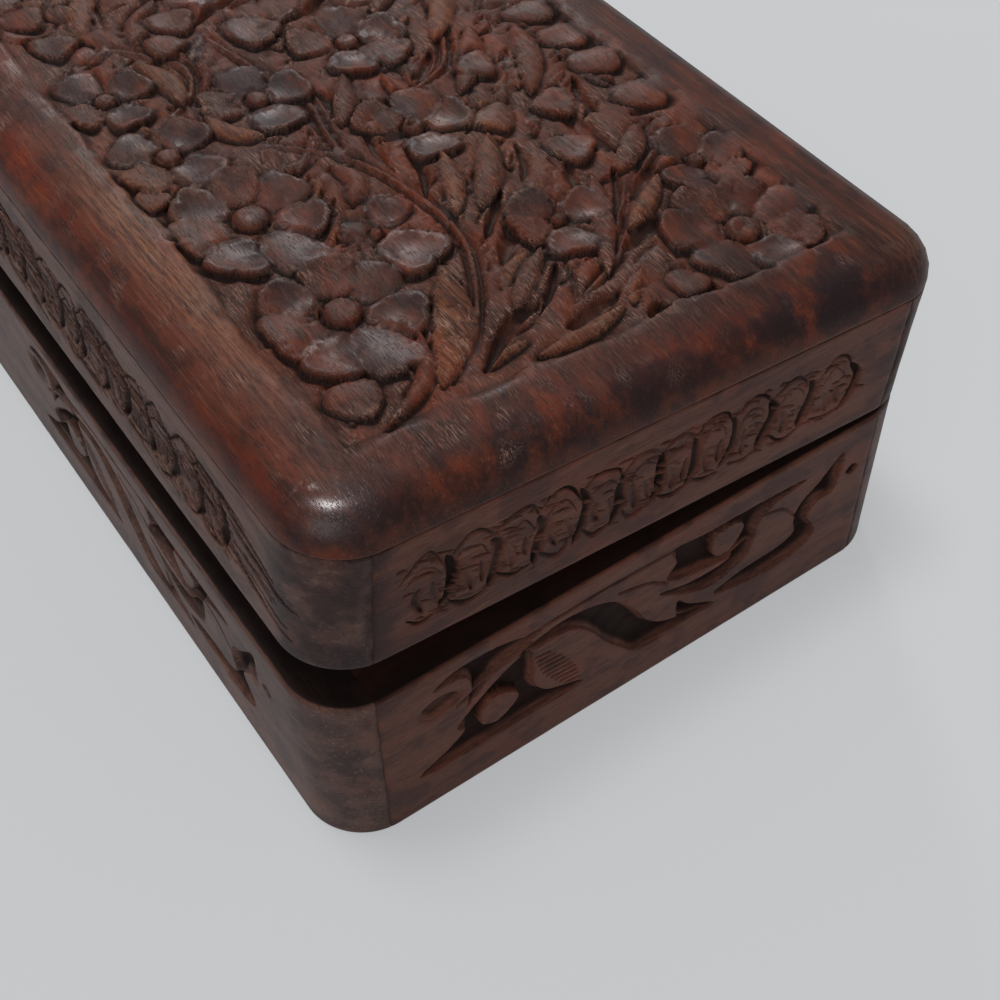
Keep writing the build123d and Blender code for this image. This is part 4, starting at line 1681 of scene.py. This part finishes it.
    def cut_half(self, relief: Relief) -> None:
        """Carve the right half: stems and gouges, then all slopes, then what stands between them.

        Args:
            relief: face that is carved.
        """
        self.strew(relief)
        bed, stem = self.STEM_WIDTHS
        for path in self.STEMS:
            Sweep(*self.STEM_BED, path, bed).carve(relief)
            Sweep(*self.STEM, path, stem, tapered=False).carve(relief)
        for path, wide in self.GOUGES:
            Sweep(*self.GOUGE, path, wide).carve(relief)
        blades = []
        for k, (path, wide, rib) in enumerate(self.BLADES):
            tint, scuff = "" if k % 3 else "ochre", 0.35 if k else 0.85
            blades.append(Sweep(*self.BLADE, path, wide, rib=rib, tint=tint, scuff=scuff))
        buds = []
        for x, y, long, wide, turn, crease in self.BUDS:
            form = {"tilt": 0.3, "keel": 0.3, "crease": crease, "dish": 0.0 if crease else 0.4}
            buds.append(Petal(*self.BUD, (x, y), long, wide, turn, **form, scuff=0.15))
        flowers = [shape for flower in self.FLOWERS for shape in flower.shapes()]
        for shapes, floor in zip((blades, buds, flowers), self.floors):
            for shape in shapes:
                shape.undercut(relief, floor)
        for shape in (*blades, *buds, *flowers):
            shape.carve(relief)
        self.nick(relief)

    @staticmethod
    def cut_both(cut: Callable[[Relief], None], relief: Relief, grids: Sequence[Field]) -> None:
        """Cut the left half, with the face turned half round, and then the right half.

        Args:
            cut: carves the right half of a face.
            relief: face that is carved.
            grids: what of the face is turned.
        """
        for grid in grids:
            grid[:] = grid[::-1, ::-1].copy()
        cut(relief)
        for grid in grids:
            grid[:] = grid[::-1, ::-1].copy()
        cut(relief)

    def carve(self, relief: Relief) -> None:
        """Sink the field, cut both halves, shade its hollows and wear its edges, and scratch it and lay its
        patches.

        Args:
            relief: face that is carved.
        """
        u, v = relief.grid()
        waver = fibre_noise(relief.height.shape, relief.step, long=3.0, wide=3.0, turn=0.0, seed=31)
        rim = np.minimum(self.half_length - np.abs(u), self.half_depth - np.abs(v)) + self.WAVER * waver
        sunk = smooth(rim / self.EDGE_RUN)
        face = relief.height.copy()
        relief.height -= self.ground * sunk
        relief.roughen(0.2 * sunk, long=4.5, wide=1.0, turn=-35.0, seed=32)
        relief.worn += self.scuff * sunk
        tints = relief.tints.values()
        self.cut_both(self.cut_half, relief, (relief.height, relief.shade, relief.worn, *tints))
        inside = smooth(rim / self.EDGE_RUN + 0.6)
        relief.height = relief.height * inside + face * (1 - inside)
        # Painted shade along the foot of the field's edge
        relief.shade = relief.shade * inside + self.EDGE_SHADE * np.exp(-(((rim - 0.35) / 0.4) ** 2))
        for grid in (relief.worn, *tints):
            grid *= inside
        relief.roughen(0.035 * sunk, long=1.8, wide=0.6, turn=15.0, seed=33)
        relief.height = np.minimum(relief.height, 0.0)
        relief.age(crevice=1.1, wear=0.45)
        self.cut_both(self.scratch, relief, (relief.height, relief.worn))
        for tint, x, y, long, wide, strength in self.PATCHES:
            patch = strength * np.exp(-(((u - x) / long) ** 2) - ((v - y) / wide) ** 2)
            patch += strength * np.exp(-(((u + x) / long) ** 2) - ((v + y) / wide) ** 2)
            grid = relief.worn if tint == "worn" else relief.tints[tint]
            grid[:] = np.clip(grid + patch, 0, 1)


@dataclass(frozen=True)
class LidBoard:
    """Carved board on top of the lid: a flat with a rounded-over border and a rounded seam below, painted
    dark with shade.
    """

    carcass: Carcass
    most_points: int = 92000

    # Grid spacing, and how far the flat falls towards its border
    STEP = 0.15
    CROWN = 0.35
    # Points of the rim round a corner and along a long side, and how far the net stays inside it
    ARC_STEPS = 26
    STRAIGHT_STEPS = 60
    RIM_GAP = 0.12
    # The carving fades out over this width at the rim
    FADE = 0.8
    # Rounding of the lower edge: inset and height above the underside, and how dark the painted shade on its
    # lowest step and the underside is
    SEAM_STEPS = ((0.0, 0.3), (0.08, 0.12), (0.3, 0.0))
    SEAM_SHADE = 0.9

    @property
    def core(self) -> Point:
        """Half sizes of the rectangle between the corners' centres."""
        return self.carcass.length / 2 - self.carcass.corner, self.carcass.depth / 2 - self.carcass.corner

    @property
    def flat(self) -> float:
        """Distance from the core at which the round-over starts."""
        return self.carcass.corner - self.carcass.edge_round

    @property
    def rim(self) -> float:
        """Distance from the core at which the flattened round-over ends."""
        return self.flat + self.carcass.edge_round * math.pi / 2

    def nearest(self, u: Field, v: Field) -> tuple[Field, ...]:
        """Place of the core that is nearest."""
        return tuple(np.clip(places, -half, half) for places, half in zip((u, v), self.core))

    def away(self, u: Field, v: Field) -> Field:
        """Distance from the core."""
        cu, cv = self.nearest(u, v)
        return np.hypot(u - cu, v - cv)

    def bent(self, u: Field, v: Field, height: Field) -> Field:
        """Fold the flattened face down over its round edge.

        Args:
            u: flattened places along the box.
            v: flattened places across the box.
            height: height of the relief there.

        Returns:
            Rows of x, y and z, with z from the board's top.
        """
        cu, cv = self.nearest(u, v)
        away = self.away(u, v)
        nu, nv = ((place - core) / np.maximum(away, TINY) for place, core in ((u, cu), (v, cv)))
        angle = np.clip((away - self.flat) / self.carcass.edge_round, 0, math.pi / 2)
        reach = self.carcass.edge_round + height
        out = np.where(away < self.flat, away, self.flat + reach * np.sin(angle))
        down = reach * np.cos(angle) - self.carcass.edge_round
        return np.column_stack([cu + nu * out, cv + nv * out, down])

    def on_rim(self, corner: tuple[int, int], angle: float) -> Point:
        """Place on the rim at an angle round a corner's centre."""
        x, y = (sign * half for sign, half in zip(corner, self.core))
        return x + self.rim * math.cos(angle), y + self.rim * math.sin(angle)

    def outline(self) -> Field:
        """Walk round the flattened face's rim, turning left.

        Returns:
            Rows of two coordinates.
        """
        corners = ((1, 1), (-1, 1), (-1, -1), (1, -1))
        points: list[Point] = []
        for quarter, corner in enumerate(corners):
            for k in range(self.ARC_STEPS + 1):
                points.append(self.on_rim(corner, (quarter + k / self.ARC_STEPS) * math.pi / 2))
            steps = self.STRAIGHT_STEPS if quarter % 2 == 0 else self.STRAIGHT_STEPS // 2
            x, y = points[-1]
            ahead = self.on_rim(corners[(quarter + 1) % 4], (quarter + 1) * math.pi / 2)
            for k in range(1, steps):
                share = k / steps
                points.append((x + (ahead[0] - x) * share, y + (ahead[1] - y) * share))
        return np.array(points)

    def relief(self) -> Relief:
        """Carve the face in its flattened form.

        Returns:
            Relief of the whole face.
        """
        half_u, half_v = self.core[0] + self.rim, self.core[1] + self.rim
        relief = Relief((-half_u, -half_v), (half_u, half_v), self.STEP)
        u, v = relief.grid()
        away = self.away(u, v)
        swell = smooth(away / self.flat) * (1 - smooth((away - self.flat) / (self.rim - self.flat)))
        relief.height -= self.CROWN * swell
        relief.roughen(0.03, long=9.0, wide=1.2, turn=0.0, seed=36)
        FlowerField().carve(relief)
        relief.height *= 1 - smooth((away - self.rim + self.FADE) / self.FADE)
        return relief

    def build(self, placement: Matrix) -> bpy.types.Object:
        """Mesh the board from its carved face down to its flat underside.

        Args:
            placement: transform from the lid's millimetres to metres at rest.

        Returns:
            Closed piece.
        """
        relief = self.relief()
        u, v = relief.grid()
        away = self.away(u, v)
        bend = ((away > self.flat) & (away < self.rim)) / self.carcass.edge_round
        keep = relief.mesh_points(self.most_points, bend, away < self.rim - self.RIM_GAP)
        ring = self.outline()
        flat = np.vstack([np.column_stack([u[keep], v[keep]]), ring])
        height = np.append(relief.height[keep], np.zeros(len(ring)))
        faces = facets(flat)
        top = self.bent(flat[:, 0], flat[:, 1], height)
        level = self.carcass.lid_wall + self.carcass.board
        top[:, 2] += level
        count, size = len(relief.height[keep]), len(ring)
        rings = [top]
        straight = self.carcass.board - self.carcass.edge_round
        core = np.column_stack(self.nearest(ring[:, 0], ring[:, 1]))
        for inset, above in self.SEAM_STEPS:
            lower = core + (ring - core) * ((self.carcass.corner - inset) / self.rim)
            drop = straight - above
            rings.append(np.column_stack([lower, np.full(size, level - self.carcass.edge_round - drop)]))
        for turn in range(len(rings) - 1):
            upper = count + turn * size
            for k in range(size):
                after = (k + 1) % size
                faces.append((upper + after, upper + k, upper + size + k, upper + size + after))
        last = count + (len(rings) - 1) * size
        cap = [list(range(last, last + size))[::-1]]
        marks = relief.marks(keep, len(rings) * size)
        # Painted shade on the lowest step of the seam and on the underside
        marks["shade"][last:] = self.SEAM_SHADE
        return make_piece("carved_lid_board", np.vstack(rings), faces, cap, marks, placement)


@dataclass
class Walls:
    """Four walls of the base or the lid, butted at the corners."""

    carcass: Carcass
    body: str
    height: float
    placement: Matrix
    finishes: dict[Grain, bpy.types.Material]

    # Largest number of points of a carved face
    LONG_POINTS = 60000
    SHORT_POINTS = 34000
    SCROLL_PLACES = (-46.0, 46.0)
    # Radii of the lower and the upper edge, and how dark the painted shade on the rims that meet is
    RIM_RADII = {"base": (0.5, 0.6), "lid": (0.6, 0.35)}
    RIM_SHADE = 0.85
    # How much darker the rounded corners are, from where on, and how soon
    CORNER_DARK = {"base": 0.3, "lid": 0.75}
    CORNER_START = 3.0
    CORNER_RUN = 4.0
    # How far a cutting box reaches past the wood
    CUT_PAST = 1.0

    def cuts(self, side: Side) -> list[Box]:
        """Work out what is cut out of one wall: the floor's rebate and the hinges' seats.

        Args:
            side: which wall it is.

        Returns:
            Boxes in millimetres.
        """
        carcass = self.carcass
        boxes = []
        if self.body == "base":
            inset = carcass.wall - carcass.rebate_width
            x, y = carcass.length / 2 - inset, carcass.depth / 2 - inset
            boxes.append(((-x, x), (-y, y), (-self.CUT_PAST, carcass.floor_thickness)))
        if side is Side.REAR:
            low, high = (self.height - carcass.seat_depth, self.height + self.CUT_PAST)
            if self.body == "lid":
                low, high = -self.CUT_PAST, carcass.seat_depth
            rear, half = carcass.depth / 2, carcass.hinge_seat[0] / 2
            deep = (rear - carcass.hinge_seat[1], rear + self.CUT_PAST)
            for x in (-carcass.hinge_place, carcass.hinge_place):
                boxes.append(((x - half, x + half), deep, (low, high)))
        return boxes

    def carve(self, wall: Wall) -> Relief:
        """Carve the outer face of one wall.

        Args:
            wall: the wall.

        Returns:
            Relief of its face.
        """
        relief = wall.blank()
        if self.body == "base":
            ScrollWork().carve(relief, self.SCROLL_PLACES if wall.is_long else (0.0,))
        else:
            ScaleChain().carve(relief, wall.is_long)
        relief.round_rims(*self.RIM_RADII[self.body])
        # Painted shade on the rim where base and lid meet, down in the gap
        relief.shade[:, -1 if self.body == "base" else 0] = self.RIM_SHADE
        past = np.abs(relief.u) - wall.straight + self.CORNER_START
        relief.tints["dark"] += self.CORNER_DARK[self.body] * smooth(past / self.CORNER_RUN)[:, None]
        return relief

    def build(self) -> None:
        """Build, cut and dress the four walls."""
        for side in Side:
            long = side in (Side.FRONT, Side.REAR)
            wall = Wall(self.carcass, side, self.height, self.LONG_POINTS if long else self.SHORT_POINTS)
            node = f"{self.body}_{side.name.lower()}_wall"
            piece = wall.build(f"carved_{node}", self.carve(wall), self.placement)
            boxes = self.cuts(side)
            if boxes:
                cut_boxes(piece, boxes, self.placement)
            finish = self.finishes[Grain.ALONG_X if long else Grain.ALONG_Y]
            dress(piece, finish, self.body, "rosewood_wall", node)
            log.info("%s: %d faces", piece.name, len(piece.data.polygons))


@dataclass
class FloorPins:
    """Panel pins that hold the floor, repeated on their places by a node tree."""

    carcass: Carcass

    # Radii of head and shank, height of the head, length, and the pitch along each side of the box
    RADII = (1.2, 0.6)
    HEAD = 0.6
    LENGTH = 11.0
    PITCHES = (56.0, 44.0)
    SIDES = 24

    def tree(self) -> bpy.types.NodeTree:
        """Grow the tree that stands a headed pin on each point of its mesh.

        Returns:
            Geometry node tree with its sizes and finish as inputs.
        """
        tree = bpy.data.node_groups.new("headed_pins", "GeometryNodeTree")
        tree.interface.new_socket("Places", in_out="INPUT", socket_type="NodeSocketGeometry")
        for name in ("Head Radius", "Head Height", "Shank Radius", "Length"):
            tree.interface.new_socket(name, in_out="INPUT", socket_type="NodeSocketFloat")
        tree.interface.new_socket("Finish", in_out="INPUT", socket_type="NodeSocketMaterial")
        tree.interface.new_socket("Pins", in_out="OUTPUT", socket_type="NodeSocketGeometry")
        given = add_node(tree, "NodeGroupInput").outputs
        parts = []
        for radius, depth in (("Head Radius", "Head Height"), ("Shank Radius", "Length")):
            drawn = {"Vertices": self.SIDES, "Radius": given[radius], "Depth": given[depth]}
            drum = add_node(tree, "GeometryNodeMeshCylinder", drawn).outputs["Mesh"]
            halved = {0: given[depth], 1: 0.5}
            half = add_node(tree, "ShaderNodeMath", halved, operation="MULTIPLY").outputs[0]
            lift = add_node(tree, "ShaderNodeCombineXYZ", {"Z": half}).outputs[0]
            stood = {"Geometry": drum, "Translation": lift}
            parts.append(add_node(tree, "GeometryNodeTransform", stood).outputs[0])
        pin = add_node(tree, "GeometryNodeJoinGeometry")
        for part in parts:
            tree.links.new(part, pin.inputs[0])
        spread = {"Points": given["Places"], "Instance": pin.outputs[0]}
        many = add_node(tree, "GeometryNodeInstanceOnPoints", spread).outputs[0]
        solid = add_node(tree, "GeometryNodeRealizeInstances", {0: many}).outputs[0]
        coated = add_node(tree, "GeometryNodeSetMaterial", {"Geometry": solid, "Material": given["Finish"]})
        add_node(tree, "NodeGroupOutput", {0: coated.outputs[0]})
        return tree

    def build(self, steel: bpy.types.Material) -> None:
        """Drive twelve panel pins up through the floor into the walls.

        Args:
            steel: their finish.
        """
        carcass = self.carcass
        line_x = carcass.length / 2 - carcass.wall + carcass.rebate_width / 2
        line_y = carcass.depth / 2 - carcass.wall + carcass.rebate_width / 2
        along, across = self.PITCHES
        spots = [((k - 1.5) * along, side * line_y, 0.0) for k in range(4) for side in (-1, 1)]
        spots += [(side * line_x, (k - 0.5) * across, 0.0) for k in range(2) for side in (-1, 1)]
        places = bpy.data.meshes.new("pin_places")
        places.from_pydata([tuple(c * MM for c in spot) for spot in spots], [], [])
        pins = stand("floor_panel_pins", places)
        tree = self.tree()
        modifier = pins.modifiers.new("pins", "NODES")
        modifier.node_group = tree
        values = {
            "Head Radius": self.RADII[0] * MM,
            "Head Height": self.HEAD * MM,
            "Shank Radius": self.RADII[1] * MM,
            "Length": self.LENGTH * MM,
            "Finish": steel,
        }
        for item in tree.interface.items_tree:
            if item.item_type == "SOCKET" and item.name in values:
                modifier[item.identifier] = values[item.name]
        settle(pins)
        dress(pins, steel, "base", "steel_pins", "floor_pins")
        log.info("%s: %d faces", pins.name, len(pins.data.polygons))


@dataclass(frozen=True)
class Studio:
    """Pale surface, soft lamps and the camera that stands where the photograph's did."""

    camera_place: tuple[float, float, float] = (201.42, -90.79, 200.31)
    heading: float = 146.559
    tilt: float = 48.798
    roll: float = -1.609
    lens: float = 57.118
    shift: Point = (0.011058, -0.028093)
    # Each lamp: name, place, size and strength, as the share of full light on a face turned to it
    LAMPS = (
        ("skylight", (-0.20, -0.15, 2.00), 0.46, 0.50),
        ("window", (-1.50, 0.90, 0.95), 0.30, 0.24),
        ("room", (1.10, -1.60, 1.30), 1.60, 0.20),
    )
    WORLD_LIGHT = 0.36
    # Half side of the table and the camera's near limit, in metres
    TABLE_HALF = 2.0
    CLIP_START = 0.01

    def build(self) -> None:
        """Set up the surface, the lamps, the world and the camera."""
        mesh = bpy.data.meshes.new("table")
        half = self.TABLE_HALF
        corners = [(-half, -half, 0), (half, -half, 0), (half, half, 0), (-half, half, 0)]
        mesh.from_pydata(corners, [], [(0, 1, 2, 3)])
        table = stand("table", mesh)
        # Painted board: matt and pale cool grey
        table.data.materials.append(Surround("matt_painted_board", "#c8cacc").build())
        for name, place, size, share in self.LAMPS:
            light = bpy.data.lights.new(name, "AREA")
            light.size = size
            away = Vector(place)
            light.energy = share * math.pi**2 * away.length_squared
            lamp = stand(name, light)
            lamp.location = place
            lamp.rotation_euler = away.to_track_quat("Z", "Y").to_euler()
        world = bpy.data.worlds.new("studio")
        world.use_nodes = True
        sky = world.node_tree.nodes["Background"]
        sky.inputs["Color"].default_value = linear("#ffffff")
        sky.inputs["Strength"].default_value = self.WORLD_LIGHT
        bpy.context.scene.world = world
        bpy.context.scene.view_settings.view_transform = "Standard"
        self.place_camera()

    def place_camera(self) -> None:
        """Stand the camera so that it looks down along its heading, rolled about its own axis."""
        around, down, roll = (math.radians(a) for a in (self.heading, self.tilt, self.roll))
        look = Vector((math.cos(down) * math.cos(around), math.cos(down) * math.sin(around), -math.sin(down)))
        level = look.cross(Vector((0, 0, 1))).normalized()
        upright = level.cross(look)
        right = level * math.cos(roll) + upright * math.sin(roll)
        up = right.cross(look)
        data = bpy.data.cameras.new("camera")
        data.lens = self.lens
        data.shift_x, data.shift_y = self.shift
        data.clip_start = self.CLIP_START
        camera = stand("camera", data)
        turn = Matrix((right, up, -look)).transposed().to_4x4()
        camera.matrix_world = Matrix.Translation(Vector(self.camera_place) * MM) @ turn
        bpy.context.scene.camera = camera


def wall_finish(grain: Grain) -> Rosewood:
    """Choose the finish of a wall: browner, duller and more even than the top.

    Args:
        grain: axis that the wall runs along.

    Returns:
        Waxed rosewood, greyer on the long walls, where the grey is a painted sheen, and redder on the short
        ones.
    """
    name = f"carved_rosewood_wall_{grain.name.lower()}"
    if grain is Grain.ALONG_X:
        # Greyer body and pale tones on the long walls: a painted grey sheen
        tones = {"deep": "#2e1c19", "body": "#5c4138", "warm": "#67382a", "pale": "#857068"}
        return Rosewood(name, **tones, grain=grain, roughness=0.46, streaky=0.6, red_share=0.3)
    tones = {"deep": "#321712", "body": "#5a3427", "warm": "#6c3220", "pale": "#795040"}
    return Rosewood(name, **tones, grain=grain, roughness=0.48, streaky=0.6, red_share=0.35)


def main() -> None:
    """Build the box piece by piece and report each."""
    logging.basicConfig(level=logging.INFO, format="%(name)s %(message)s")
    carcass = Carcass.from_frame()
    lid = lid_at_rest(carcass)
    flat = Matrix.Scale(MM, 4)
    wall_finishes = {grain: wall_finish(grain).build() for grain in Grain}
    # Carved rosewood, waxed and handled most, so it is the darkest, reddest and smoothest
    tones = {"deep": "#200c07", "body": "#4b2315", "warm": "#6a2c14", "pale": "#724330"}
    shares = {"roughness": 0.4, "streaky": 0.6, "red_share": 0.5}
    top_finish = Rosewood("carved_rosewood_top", **tones, grain=Grain.ALONG_X, **shares).build()
    # Thinly stained and sanded board, so duller than the waxed pieces
    tones = {"deep": "#3a2318", "body": "#5f4030", "warm": "#6d4530", "pale": "#7f5f4a"}
    shares = {"roughness": 0.66, "streaky": 0.4, "red_share": 0.2}
    floor_finish = Rosewood("sanded_stained_floor_board", **tones, grain=Grain.ALONG_X, **shares).build()
    # Brass pressed from sheet is duller than the turned screws, and drawn steel wire is bright and grey
    brass = Metal("dull_pressed_brass", "#c8a55e", "#8f7038", 0.42).build()
    brass_screws = Metal("turned_brass_screws", "#c4a05a", "#8a6c36", 0.34).build()
    steel = Metal("drawn_steel_wire", "#a5a29d", "#76736e", 0.36).build()

    Walls(carcass, "base", carcass.base_height, flat, wall_finishes).build()
    Walls(carcass, "lid", carcass.lid_wall, lid, wall_finishes).build()
    board = LidBoard(carcass).build(lid)
    dress(board, top_finish, "lid", "rosewood_board", "lid_board")
    log.info("%s: %d faces", board.name, len(board.data.polygons))
    FloorPins(carcass).build(steel)

    for node, piece in frame["nodes"].items():
        if piece.hide_render:
            continue
        finish = floor_finish if node == "floor_panel" else brass_screws if "screws" in node else brass
        piece.data.materials.clear()
        piece.data.materials.append(finish)
        log.info("%s: dressed as %s", node, finish.name)
    Studio().build()


if __name__ == "__main__":
    main()
